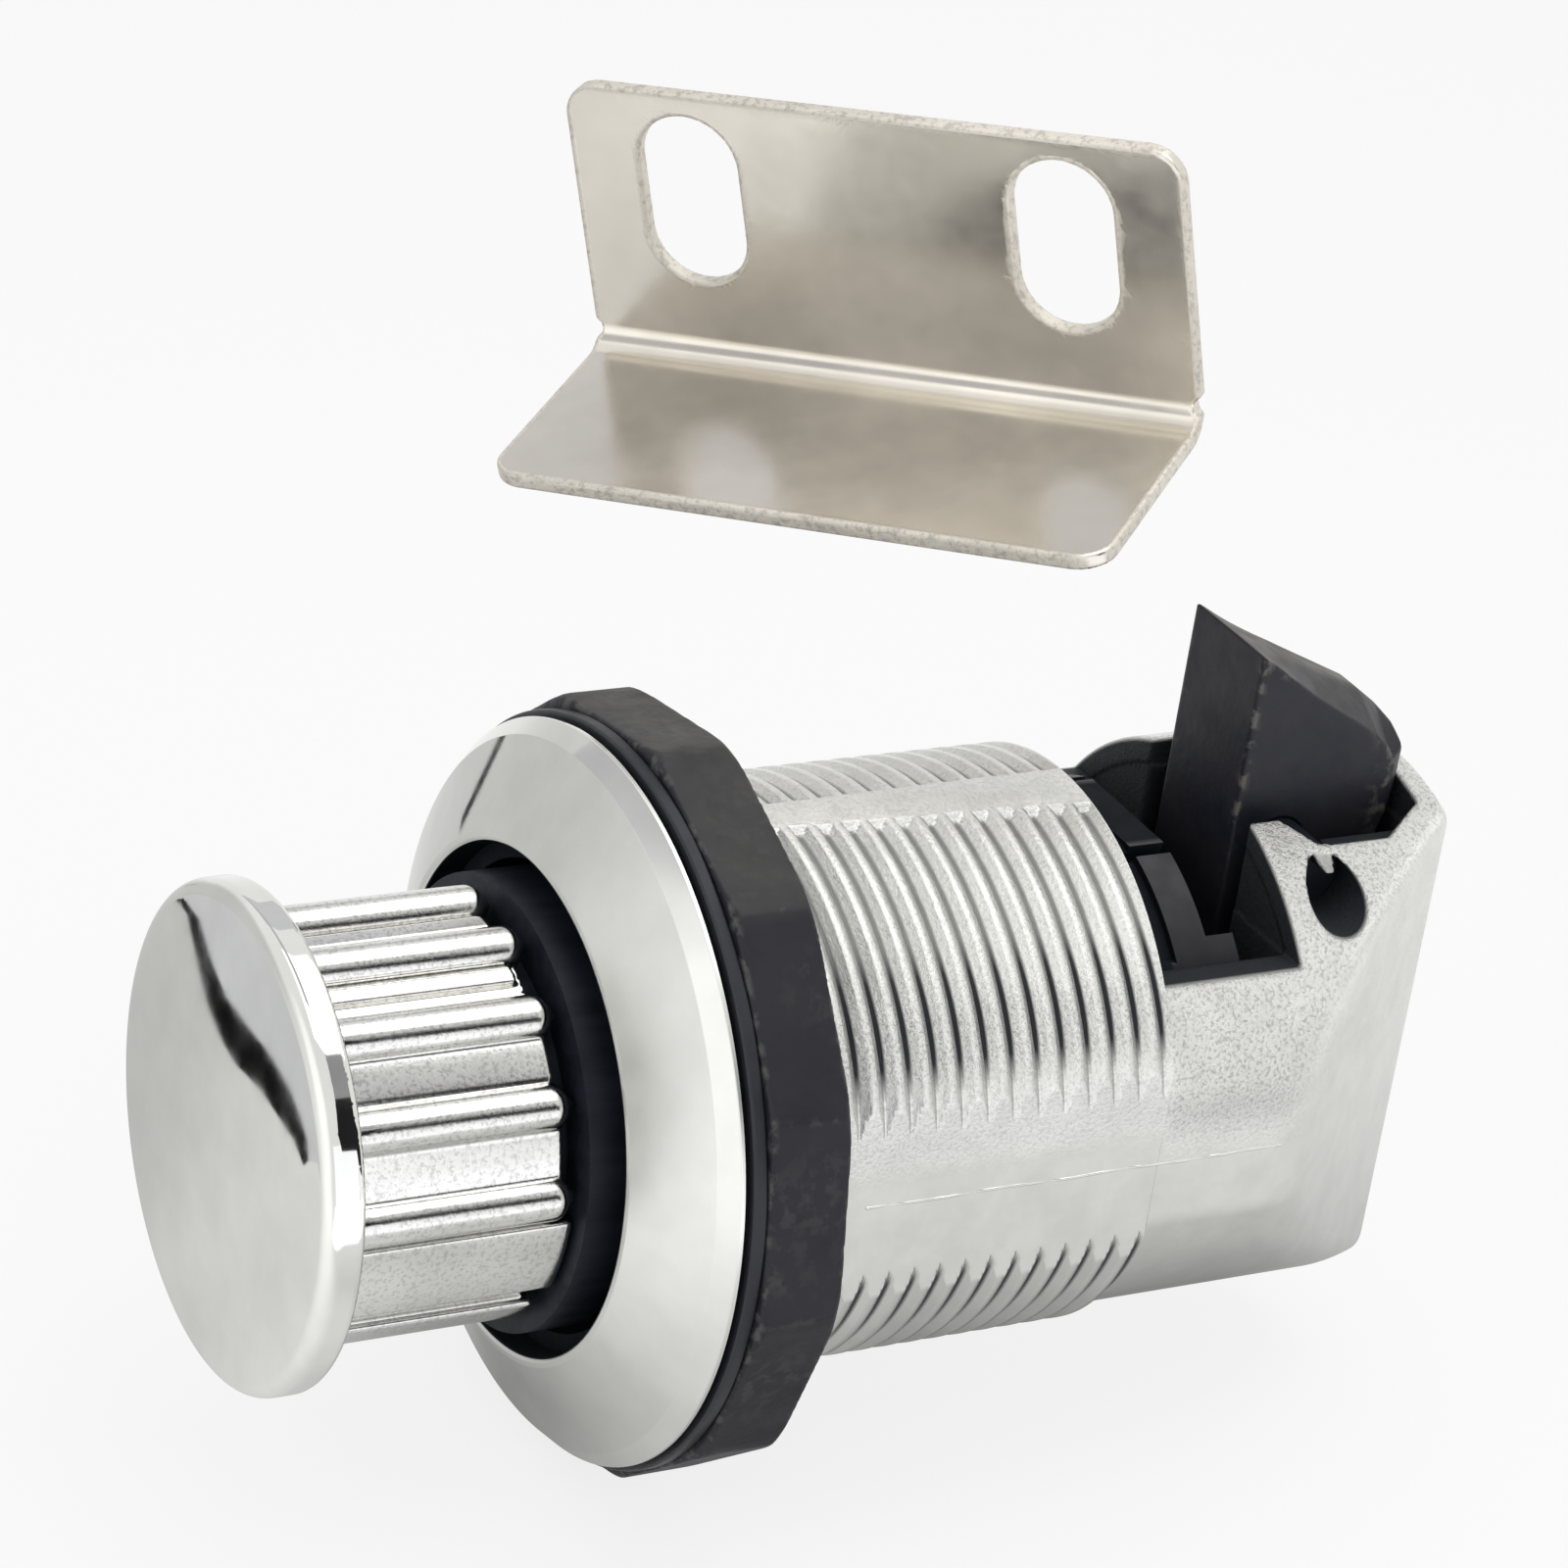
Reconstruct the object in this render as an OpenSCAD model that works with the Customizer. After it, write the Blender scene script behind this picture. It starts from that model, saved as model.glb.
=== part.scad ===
// Push button cabinet lock with its ring nut, washer and strike plate.
// +X runs from the button to the tail, +Z is the side of the tongue.
// The origin is on the barrel's axis, in the plane where the bezel meets the panel.

/* [Barrel] */
// Outer diameter of the barrel's thread
thread_d = 28; // [26.8:0.1:29]
// Pitch of the thread
thread_pitch = 1.25; // [1:0.05:2]
// Depth of the thread's grooves
thread_depth = 0.8; // [0.5:0.05:0.9]
// Depth of the four flats under the thread's crests
flat_depth = 0.9; // [0.85:0.05:1]
// Length of the threaded stretch behind the panel face
thread_len = 24.4; // [22:0.2:26]
// Step from the thread's crests down to the plain tail
tail_step = 0.5; // [0.2:0.05:0.7]
// Wall between the thread's roots and the bore
barrel_wall = 1.05; // [0.95:0.05:1.3]
// Wall beside the tongue's slot at the tail's flat end
tail_cheek = 1.1; // [0.8:0.1:2.6]
// Angle of the tail's two slanted sides to the axis
tail_slant = 34.8; // [30:0.2:38]
// Length of the spigot that enters the bezel
spigot_len = 1.6; // [1.2:0.1:2]

/* [Window and tongue slot] */
// Length of the window behind the thread
window_len = 7.9; // [7.6:0.1:8.2]
// Depth of the window's lower edge under the upper flat
window_drop = 5; // [4:0.1:6]
// Gap between the tongue and each side of its slot
slot_side = 1.225; // [0.8:0.025:1.4]
// Step on each side out to where the slot is wide
slot_step = 1.8; // [1.4:0.1:2]
// Depth of the slot's floor under the upper flat
slot_drop = 10.3; // [10:0.1:12]
// Gap between the tongue and the wall behind the slot
slot_rear_gap = 0.65; // [0.3:0.05:1.5]
// Thickness of the wall behind the slot
tail_wall = 1.45; // [1:0.05:2]

/* [Tongue] */
// Width of the tongue
tongue_w = 6.35; // [5.6:0.05:6.6]
// Height of the tongue's tip over the upper flat
tip_rise = 7.7; // [6:0.1:9]
// Reach of the tongue behind the cross pin
tongue_reach = 6.2; // [5.8:0.1:6.6]
// Gap between the window's rear edge and the tongue's front face
tongue_set = 0.1; // [0:0.05:0.3]
// Distance of the cross pin behind the tongue's front face
pin_back = 2.7; // [2.6:0.05:2.9]
// Depth of the cross pin under the upper flat
pin_drop = 2.7; // [2.4:0.1:3]
// Diameter of the cross pin
pin_d = 3; // [2.5:0.05:3.1]
// Length of the cross pin in each cheek
pin_seat = 1.8; // [1.4:0.05:1.9]
// Diameter of the open holes in the cheeks, outside the pin's ends
cheek_hole_d = 3.6; // [3.4:0.1:4.2]
// Fit between a pin and its hole, on the radius
pin_fit = 0.05; // [0.03:0.01:0.08]
// Reach of the tongue's lower arm below the pin
arm_drop = 6; // [5:0.1:6.4]

/* [Bezel] */
// Width of the bezel's ring round the thread
bezel_ring = 3.5; // [2.5:0.25:5]
// Depth of the bezel in front of the panel
bezel_depth = 3.2; // [2.8:0.1:4]
// Depth of the bright bevel at the bezel's edge
bezel_bevel = 0.9; // [0.5:0.1:1.2]

/* [Knob] */
// Radial gap between the knob's cap and the bezel's hole
cap_gap = 0.2; // [0.2:0.05:0.7]
// Thickness of the cap's rim
cap_rim = 1.9; // [1.5:0.1:2.2]
// Height of the cap's dome over its rim
cap_dome = 0.4; // [0.2:0.05:0.8]
// Distance of the cap's back in front of the panel face
cap_back = 15.5; // [14.6:0.1:16]
// Step from the cap's edge in to the skirt
skirt_step = 1.9; // [1.8:0.05:2.2]
// Wall of the knob's skirt
skirt_wall = 1.4; // [1:0.1:1.5]
// Distance of the skirt's end in front of the panel face
skirt_end = 4.6; // [4.4:0.1:5.2]
// Number of ribs on each side of the skirt
rib_count = 5; // [3:1:5]
// Angle between neighbouring ribs
rib_step = 24.1; // [20:0.1:26]
// Angle of the first rib, from +Y towards +Z
rib_first = 78.5; // [70:0.5:90]
// Radius of a rib
rib_r = 1; // [0.8:0.05:1.05]
// Height of a rib over the skirt
rib_rise = 0.75; // [0.4:0.05:0.85]
// Travel of the knob
travel = 12.5; // [10:0.1:12.5]

/* [Plunger and sleeve] */
// Wall of the guide sleeve
sleeve_wall = 0.9; // [0.8:0.05:0.95]
// Length of the sleeve's end that shows in the window
sleeve_show = 4; // [3.4:0.1:4.2]
// Thickness of the sleeve's rear wall
sleeve_back = 1.8; // [1.6:0.1:2]
// Radial gap between the plunger and the sleeve
slide_gap = 0.4; // [0.3:0.05:0.5]
// Radial gap between the sleeve and the barrel
sleeve_gap = 0.15; // [0.1:0.05:0.2]
// Length of the plunger behind the panel face
plunger_len = 11.5; // [11:0.1:11.5]
// Wall of the plunger round its spring chamber
chamber_wall = 4.1; // [4:0.05:4.4]
// Height of the locking bar
bar_h = 1.5; // [1.2:0.1:1.6]
// Width of the locking bar
bar_w = 5.6; // [4:0.1:5.8]
// Gap between the pressed locking bar and the tongue's arm
bar_gap = 0.4; // [0.3:0.1:1]

/* [Springs and small parts] */
// Wire diameter of the return spring
spring_wire = 0.9; // [0.6:0.05:1]
// Turns of the return spring
spring_turns = 10; // [6:1:11]
// Wire diameter of the tongue's spring
torsion_wire = 0.6; // [0.4:0.05:0.6]
// Turns of the tongue's spring
torsion_turns = 2; // [1:1:2]
// Pitch of the tongue's spring
torsion_pitch = 1.05; // [1.02:0.01:1.1]
// Thickness of the heart cam plate
cam_t = 1.8; // [1.6:0.1:2]
// Diameter of the follower's wire
follower_d = 1; // [0.8:0.05:1]
// Sideways travel of the follower's tip
follower_shift = 1.2; // [0.8:0.1:1.3]
// Length of the follower's leg in the sleeve's rear wall
follower_leg = 3; // [2:0.1:3.2]
// Thickness of the follower's leaf spring
leaf_t = 0.3; // [0.2:0.05:0.3]
// Width of the leaf spring
leaf_w = 3; // [2:0.1:3.6]
// Rise of the leaf spring's free end
leaf_rise = 0.35; // [0.2:0.05:0.4]
// Diameter of the knob's screw
screw_d = 3; // [2.5:0.1:3]
// Diameter of the sleeve's dowel
dowel_d = 2; // [1.5:0.1:2.2]

/* [Nut and washer] */
// Width of the nut's ring at its corners
nut_ring = 4.5; // [3.5:0.25:6]
// Thickness of the nut
nut_t = 4; // [3:0.1:5]
// Number of the nut's sides
nut_sides = 12; // [6:2:12]
// Chamfer of the nut's corners
nut_chamfer = 0.5; // [0.2:0.05:0.8]
// Width of the washer's ring outside the thread
washer_ring = 3.8; // [3.5:0.1:6]
// Thickness of the washer
washer_t = 0.7; // [0.5:0.05:1]
// Gap between the bezel and the washer
washer_gap = 0.3; // [0.2:0.05:1]

/* [Strike plate] */
// Length of the strike plate
strike_len = 32; // [28:0.5:40]
// Height of the slotted flange
strike_h = 14.4; // [14:0.1:18]
// Depth of the lower flange
strike_depth = 12.6; // [10:0.1:16]
// Thickness of the strike plate
strike_t = 0.8; // [0.6:0.1:1.5]
// Inner radius of the bend
bend_r = 0.8; // [0.5:0.1:1.2]
// Radius of the flange corners
strike_corner = 1.8; // [1:0.1:3]
// Width of a slot
slot_w = 5.2; // [4:0.1:5.6]
// Length of a slot
slot_len = 9; // [6:0.1:9.2]
// Distance between the two slots
slot_gap = 19.4; // [16:0.1:22]
// Height of the slots' middle over the bend
slot_mid = 8.7; // [8.4:0.1:9]
// Place of the strike plate, as it stands in the picture
strike_at = [22.06, 16.79, 27.09];
// Turn of the strike plate, as it stands in the picture
strike_turn = [13, -9.2, -53];

/* [Hidden] */

$fn = 64;
// A cut runs this far past the face that it opens
over = 1;
far = 60;

thread_r = thread_d / 2;
root_r = thread_r - thread_depth;
flat_reach = thread_r - flat_depth;
tail_r = thread_r - tail_step;
bore_r = root_r - barrel_wall;
sleeve_r = bore_r - sleeve_gap;
sleeve_in_r = sleeve_r - sleeve_wall;
window_end = thread_len + window_len;
window_floor = flat_reach - window_drop;

slot_half = tongue_w / 2 + slot_side;
slot_wide_half = slot_half + slot_step;
slot_floor = flat_reach - slot_drop;
tail_end_half = slot_half + tail_cheek;

tongue_front = window_end + tongue_set;
tip_z = flat_reach + tip_rise;
pin_x = tongue_front + pin_back;
pin_z = flat_reach - pin_drop;
pin_r = pin_d / 2;
pin_half = slot_half + pin_seat;
slot_back = pin_x + tongue_reach + slot_rear_gap;
body_len = slot_back + tail_wall;

bezel_r = thread_r + bezel_ring;
bezel_hole_r = sleeve_r;
plunger_r = sleeve_in_r - slide_gap;
chamber_r = plunger_r - chamber_wall;
cap_r = bezel_hole_r - cap_gap;
skirt_r = cap_r - skirt_step;
skirt_in_r = skirt_r - skirt_wall;

sleeve_end = thread_len + sleeve_show;
back_wall_x = thread_len;
back_wall_end = thread_len + sleeve_back;

// The knob's inside, from the cap back
cap_skin = 0.4;
cavity_x = -(cap_back + cap_skin);
boss_len = 3.3;
boss_r = 3.5;
boss_x = cavity_x + boss_len;
plunger_nose_fit = 0.1;
plunger_web = 2;
chamber_x = boss_x + plunger_web;
shoulder_x = -(skirt_end - 0.4);

washer_small_t = 0.5;
screw_r = screw_d / 2;
screw_head_r = 1.85 * screw_r;
screw_head_h = 1.7;
screw_fit = 0.05;

// The locking bar lies just over the spring chamber
bar_z = chamber_r + 0.3;
bar_end = tongue_front - bar_gap - travel;
bar_root = 3;
bar_fit = 0.05;

// The heart cam lies under the spring chamber, its track facing down
cam_top = -(chamber_r + 0.5);
cam_bottom = cam_top - cam_t;
cam_half = 5;
cam_fit = 0.05;
track_depth = 1.2;
tip_clear = 0.3;
cam_rear = plunger_len - 0.2;
cam_border = 0.5;
follower_r = follower_d / 2;
track_half = follower_r + tip_clear;
tip_x = cam_rear - cam_border - track_half;
track_front = tip_x - travel - track_half - 0.1;
cam_front = track_front - cam_border;
follower_z = cam_bottom - tip_clear - follower_r;
follower_pivot_x = back_wall_x + 1;
leaf_lift = 0.2;
leaf_heel = back_wall_x - 1.4;
leaf_toe = tip_x + 1.7;
leaf_end = back_wall_end - 0.2;

seat_t = 0.5;
seat_x = back_wall_x - seat_t;
spring_wire_r = spring_wire / 2;
spring_r = chamber_r - 0.3 - spring_wire_r;
torsion_wire_r = torsion_wire / 2;
torsion_r = pin_r + 0.1 + torsion_wire_r;
torsion_half = torsion_turns * torsion_pitch / 2;
torsion_gap = 0.15;
torsion_pocket_r = torsion_r + torsion_wire_r + torsion_gap;
torsion_pocket_half = torsion_half + torsion_wire_r + torsion_gap;
torsion_leg_x = pin_x + torsion_r;
torsion_hole_depth = 1;
torsion_leg_up = 3.2;

washer_x = washer_gap;
nut_x = washer_x + washer_t;
nut_bore_r = thread_r + 0.05;
dowel_x = nut_x + nut_t / 2;

// A solid of revolution about the X axis, from [radius, x] points
module turned(points) {
    rotate([0, 90, 0]) rotate_extrude($fn = 96) polygon(points);
}

// A plain cylinder along X
module rod_x(r, x0, x1) {
    translate([x0, 0, 0]) rotate([0, 90, 0]) cylinder(r = r, h = x1 - x0);
}

// A plain cylinder along Y
module rod_y(r, y0, y1) {
    translate([0, y0, 0]) rotate([-90, 0, 0]) cylinder(r = r, h = y1 - y0);
}

// A box between two corners
module block(low, high) {
    translate(low) cube(high - low);
}

// A side view in [x, z] points, made half the width to each side of the middle
module side_plate(points, width) {
    rotate([90, 0, 0]) linear_extrude(width, center = true) polygon(points);
}

// The rings of one sweep, six points each
function ring(p, t, n, r, sides) =
    let (b = cross(t, n))
    [for (i = [0 : sides - 1]) p + r * (cos(360 * i / sides) * n + sin(360 * i / sides) * b)];

function unit(v) = v / norm(v);

// Wire along points, with a normal given at each point
module wire(points, normals, r, sides = 6) {
    count = len(points);
    rings = [
        for (i = [0 : count - 1])
            ring(points[i], unit(points[min(i + 1, count - 1)] - points[max(i - 1, 0)]), normals[i], r, sides)
    ];
    side_faces = [
        for (i = [0 : count - 2])
            for (k = [0 : sides - 1])
                let (a = i * sides + k, b = i * sides + (k + 1) % sides)
                each [[a, a + sides, b], [b, a + sides, b + sides]]
    ];
    first_cap = [for (k = [1 : sides - 2]) [0, k, k + 1]];
    last = (count - 1) * sides;
    last_cap = [for (k = [1 : sides - 2]) [last, last + k + 1, last + k]];
    polyhedron(points = [for (one = rings) each one], faces = concat(side_faces, first_cap, last_cap));
}

// Least gap between turns, from points that lie over half a turn apart
function least_gap(points, skip, wire_r) =
    min([
        for (i = [0 : len(points) - 1])
            for (k = [i + skip : 1 : len(points) - 1])
                norm(points[i] - points[k])
    ]) - 2 * wire_r;

// Knob

module knob_cap() {
    edge = 0.25;
    front = -(cap_back + cap_rim);
    turned([
        [0, front - cap_dome],
        [cap_r * 0.35, front - cap_dome * 0.88],
        [cap_r * 0.7, front - cap_dome * 0.5],
        [cap_r - 2.5 * edge, front],
        [cap_r - edge, front + edge],
        [cap_r, front + 3 * edge],
        [cap_r, -cap_back - edge],
        [cap_r - edge, -cap_back],
        [0, -cap_back]
    ]);
}

module knob_ribs() {
    for (side = [0, 180])
        for (i = [0 : rib_count - 1])
            rotate([side + rib_first + i * rib_step, 0, 0])
                translate([0, skirt_r + rib_rise - rib_r, 0])
                    rod_x(rib_r, -cap_back - over / 4, -skirt_end);
}

// The inside of the skirt, with the boss of the screw left standing
module knob_cavity() {
    turned([
        [0, 0], [0, boss_x], [boss_r, boss_x], [boss_r, cavity_x], [skirt_in_r, cavity_x], [skirt_in_r, 0]
    ]);
}

module knob() {
    color("gainsboro")
    difference() {
        union() {
            knob_cap();
            rod_x(skirt_r, -cap_back - over / 4, -skirt_end);
            knob_ribs();
        }
        knob_cavity();
        rod_x(screw_r + screw_fit, cavity_x + 0.2, 0);
    }
}

module knob_screw() {
    head_x = chamber_x + washer_small_t;
    color("silver")
    difference() {
        union() {
            rod_x(screw_r, cavity_x + 0.5, head_x + 0.1);
            rod_x(screw_head_r, head_x, head_x + screw_head_h);
        }
        translate([head_x + 0.5, 0, 0]) rotate([0, 90, 0]) cylinder(r = screw_r * 0.8, h = 3, $fn = 6);
    }
}

module screw_washer() {
    color("silver")
    difference() {
        rod_x(screw_head_r + 0.6, chamber_x, chamber_x + washer_small_t);
        rod_x(screw_r + 0.2, chamber_x - over, chamber_x + over);
    }
}

// Plunger group

module plunger() {
    nose_r = skirt_in_r - plunger_nose_fit;
    color("#26262a")
    difference() {
        union() {
            rod_x(nose_r, boss_x, shoulder_x + over);
            rod_x(plunger_r, shoulder_x, plunger_len);
        }
        rod_x(chamber_r, chamber_x, plunger_len + over);
        rod_x(screw_r + 0.15, boss_x - over, chamber_x + over);
        block(
            [bar_root, -bar_w / 2 - bar_fit, bar_z - bar_fit],
            [plunger_len + over, bar_w / 2 + bar_fit, bar_z + bar_h + bar_fit]
        );
        block(
            [cam_front - cam_fit, -cam_half - cam_fit, -plunger_r - over],
            [plunger_len + over, cam_half + cam_fit, cam_top + cam_fit]
        );
    }
}

module locking_bar() {
    color("dimgray")
    block([bar_root + bar_fit, -bar_w / 2, bar_z], [bar_end, bar_w / 2, bar_z + bar_h]);
}

// The track's middle line runs straight from the rest point to the pressed point
function track_y(x) = (tip_x - x) / travel * follower_shift;

module heart_island() {
    side = track_half + 0.05;
    polygon([
        [tip_x - 2.6, track_y(tip_x - 2.6) - side],
        [tip_x - 0.84 * travel, track_y(tip_x - 0.84 * travel) - side],
        [tip_x - 0.77 * travel, -0.75 * side],
        [tip_x - 0.84 * travel, -2.3 * side],
        [tip_x - 0.45 * travel, -2.4 * side]
    ]);
}

module heart_track() {
    difference() {
        polygon([
            [tip_x + track_half, -track_half],
            [tip_x + track_half, track_half],
            [tip_x - travel, follower_shift + track_half],
            [track_front, follower_shift * 0.6],
            [track_front, -2.4 * track_half],
            [tip_x - 0.8 * travel, -4.2 * track_half],
            [tip_x - 0.4 * travel, -4.2 * track_half]
        ]);
        heart_island();
    }
}

module heart_cam() {
    color("silver")
    difference() {
        block([cam_front, -cam_half, cam_bottom], [cam_rear, cam_half, cam_top]);
        translate([0, 0, cam_bottom - over]) linear_extrude(track_depth + over) heart_track();
    }
}

// Latch parts in the sleeve

module cam_follower() {
    color("silver")
    union() {
        translate([0, 0, follower_z]) rod_x(follower_r, tip_x, follower_pivot_x);
        translate([tip_x, 0, follower_z]) cylinder(r = follower_r, h = cam_bottom + track_depth - tip_clear - follower_z);
        translate([tip_x, 0, follower_z]) sphere(r = follower_r);
        translate([follower_pivot_x, 0, follower_z]) cylinder(r = follower_r, h = follower_leg);
        translate([follower_pivot_x, 0, follower_z]) sphere(r = follower_r);
    }
}

module follower_spring() {
    low = -sleeve_in_r + leaf_lift;
    color("silver")
    side_plate([
        [leaf_end, low], [leaf_heel, low], [leaf_toe, low + leaf_rise],
        [leaf_toe, low + leaf_rise + leaf_t], [leaf_heel, low + leaf_t], [leaf_end, low + leaf_t]
    ], leaf_w);
}

// Return spring, one unbroken wire between the chamber's end and its seat
spring_start = chamber_x + spring_wire_r;
spring_stop = seat_x - spring_wire_r;
spring_rings = 8 * spring_turns;
spring_points = [
    for (i = [0 : spring_rings])
        let (a = 360 * i / 8)
        [spring_start + (spring_stop - spring_start) * i / spring_rings, spring_r * cos(a), spring_r * sin(a)]
];
spring_normals = [for (i = [0 : spring_rings]) [0, cos(360 * i / 8), sin(360 * i / 8)]];
echo(str("return spring, least gap to itself: ", least_gap(spring_points, 5, spring_wire_r)));

module return_spring() {
    color("silver") wire(spring_points, spring_normals, spring_wire_r);
}

module spring_seat() {
    color("silver")
    difference() {
        rod_x(spring_r + spring_wire_r, seat_x, back_wall_x);
        rod_x(spring_r - 2 * spring_wire_r, seat_x - over, back_wall_x + over);
    }
}

// Guide sleeve

notch_w = 0.7;
notch_angle = 18;
foot_reach = 1.5;
foot_low = 42;
foot_high = 52;
rim_back = 1.9;
rim_drop = 0.4;

module sleeve_tube() {
    difference() {
        union() {
            rod_x(sleeve_r, -spigot_len, sleeve_end);
            intersection() {
                rod_x(sleeve_r, sleeve_end - over, sleeve_end + foot_reach);
                for (side = [0, 1])
                    mirror([0, side, 0])
                        block([0, sin(foot_low) * sleeve_r, 0], [far, sin(foot_high) * sleeve_r, sleeve_r]);
            }
        }
        rod_x(sleeve_in_r, -spigot_len - over, back_wall_x);
        rod_x(sleeve_in_r, back_wall_end, far);
    }
}

module guide_sleeve() {
    color("#1d1d21")
    difference() {
        sleeve_tube();
        rod_x(chamber_r * 0.62, back_wall_x - over, back_wall_end + over);
        // Way of the locking bar
        block([back_wall_x - over, -bar_w / 2 - 0.3, bar_z - 0.3], [far, bar_w / 2 + 0.3, bar_z + bar_h + 0.3]);
        // Way of the follower's wire and its leaf
        block([back_wall_x - over, -2, -sleeve_in_r + 0.02], [back_wall_end + over, 2, follower_z + follower_r + 0.2]);
        translate([follower_pivot_x, 0, follower_z])
            cylinder(r = follower_r + pin_fit, h = follower_leg + tip_clear);
        // Rim and notches of the end that shows in the window
        difference() {
            rod_x(sleeve_r + over, thread_len + 0.01, sleeve_end - rim_back);
            rod_x(sleeve_r - rim_drop, 0, far);
            block([0, -far, -far], [far, far, window_floor]);
        }
        for (side = [0, 1])
            mirror([0, side, 0])
                rotate([notch_angle, 0, 0])
                    block([back_wall_end, -notch_w / 2, sleeve_in_r - over], [far, notch_w / 2, sleeve_r + over]);
        // Flat that leaves room for the folded tongue
        block([back_wall_end, -tongue_w / 2 - 0.3, sleeve_r - 0.5], [far, tongue_w / 2 + 0.3, far]);
        translate([dowel_x, 0, -far]) cylinder(r = dowel_d / 2 + pin_fit, h = far);
    }
}

module sleeve_pin() {
    color("silver")
    translate([dowel_x, 0, -flat_reach + 0.2]) cylinder(r = dowel_d / 2, h = flat_reach - sleeve_in_r - 0.25);
}

// Barrel

thread_count = floor((thread_len - 0.4) / thread_pitch);
thread_x0 = thread_len - 0.1 - thread_count * thread_pitch;
crest = 0.15;

module thread_blank() {
    turned(concat(
        [[0, -spigot_len], [root_r, -spigot_len], [root_r, thread_x0]],
        [
            for (i = [0 : thread_count - 1])
                let (x = thread_x0 + i * thread_pitch)
                each [
                    [root_r, x + crest],
                    [thread_r, x + thread_pitch / 2 - crest / 2],
                    [thread_r, x + thread_pitch / 2 + crest / 2],
                    [root_r, x + thread_pitch - crest / 2]
                ]
        ],
        [[root_r, thread_len], [0, thread_len]]
    ));
}

module tail_outline() {
    run = (tail_r - tail_end_half) / tan(tail_slant);
    polygon([
        [thread_len - over, -tail_r], [body_len - run, -tail_r], [body_len, -tail_end_half],
        [body_len, tail_end_half], [body_len - run, tail_r], [thread_len - over, tail_r]
    ]);
}

module barrel_blank() {
    intersection() {
        union() {
            thread_blank();
            intersection() {
                rod_x(tail_r, thread_len - 0.1, body_len);
                translate([0, 0, -tail_r]) linear_extrude(2 * tail_r) tail_outline();
            }
        }
        block([-far, -flat_reach, -far], [far, flat_reach, far]);
    }
}

module slot_outline() {
    start = window_end - over;
    neck = window_end + 1.4;
    wide = window_end + 3.1;
    wide_end = slot_back - 2.6;
    polygon([
        [start, -slot_half], [neck, -slot_half], [wide, -slot_wide_half], [wide_end, -slot_wide_half],
        [slot_back, -slot_half], [slot_back, slot_half], [wide_end, slot_wide_half],
        [wide, slot_wide_half], [neck, slot_half], [start, slot_half]
    ]);
}

module barrel_housing() {
    wide_floor = pin_z + 0.5;
    color("lightgray")
    difference() {
        barrel_blank();
        rod_x(bore_r, -spigot_len - over, window_end);
        block([thread_len, -far, window_floor], [window_end, far, far]);
        block([window_end - over, -slot_half, slot_floor], [slot_back, slot_half, far]);
        translate([0, 0, wide_floor]) linear_extrude(far) slot_outline();
        translate([pin_x, 0, pin_z]) rod_y(pin_r + pin_fit, -far, far);
        for (side = [0, 1])
            mirror([0, side, 0])
                translate([pin_x, 0, pin_z]) rod_y(cheek_hole_d / 2, pin_half, far);
        translate([torsion_leg_x, -torsion_half, slot_floor - torsion_hole_depth])
            cylinder(r = torsion_wire_r + torsion_gap, h = torsion_hole_depth + over);
        translate([dowel_x, 0, -far]) cylinder(r = dowel_d / 2 + pin_fit, h = far);
    }
}

module bezel() {
    hole = bezel_hole_r;
    lip = 0.25;
    shoulder = -spigot_len;
    bevel_r = bezel_r - 0.65 * bezel_bevel;
    color("gainsboro")
    turned([
        [bezel_r, 0], [bezel_r, -0.15], [bevel_r, -bezel_bevel],
        [hole + 2 * lip, -bezel_depth + 0.15], [hole + lip, -bezel_depth], [hole, -bezel_depth + lip],
        [hole, shoulder], [root_r + pin_fit, shoulder], [root_r + pin_fit, 0]
    ]);
}

module washer() {
    color("#2a2a2e")
    difference() {
        rod_x(thread_r + washer_ring, washer_x, washer_x + washer_t);
        rod_x(thread_r + 0.3, washer_x - over, washer_x + washer_t + over);
    }
}

module lock_nut() {
    r = thread_r + nut_ring;
    color("#38383d")
    difference() {
        intersection() {
            translate([nut_x, 0, 0]) rotate([66, 0, 0]) rotate([0, 90, 0]) cylinder(r = r, h = nut_t, $fn = nut_sides);
            turned([
                [0, nut_x], [r - nut_chamfer, nut_x], [r, nut_x + nut_chamfer],
                [r, nut_x + nut_t - nut_chamfer], [r - nut_chamfer, nut_x + nut_t], [0, nut_x + nut_t]
            ]);
        }
        rod_x(nut_bore_r, nut_x - over, nut_x + nut_t + over);
    }
}

// Tongue

module tongue_shape() {
    // Down the curved ramp from the tip, round the rear and along the lower arm, as shares of
    // the reach behind the pin, of the tip's height over it and of the arm's drop below it
    height = tip_z - pin_z;
    ramp = [[0.5, 0.77], [0.774, 0.644], [0.952, 0.48], [1, 0.327], [0.887, 0.058]];
    arm = [[0.742, -0.267], [0.177, -1]];
    side_plate(concat(
        [[tongue_front, tip_z], [tongue_front + pin_back * 0.185, tip_z - height * 0.01]],
        [for (share = ramp) [pin_x + share[0] * tongue_reach, pin_z + share[1] * height]],
        [for (share = arm) [pin_x + share[0] * tongue_reach, pin_z + share[1] * arm_drop]],
        [[tongue_front, pin_z - arm_drop]]
    ), tongue_w);
}

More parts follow.
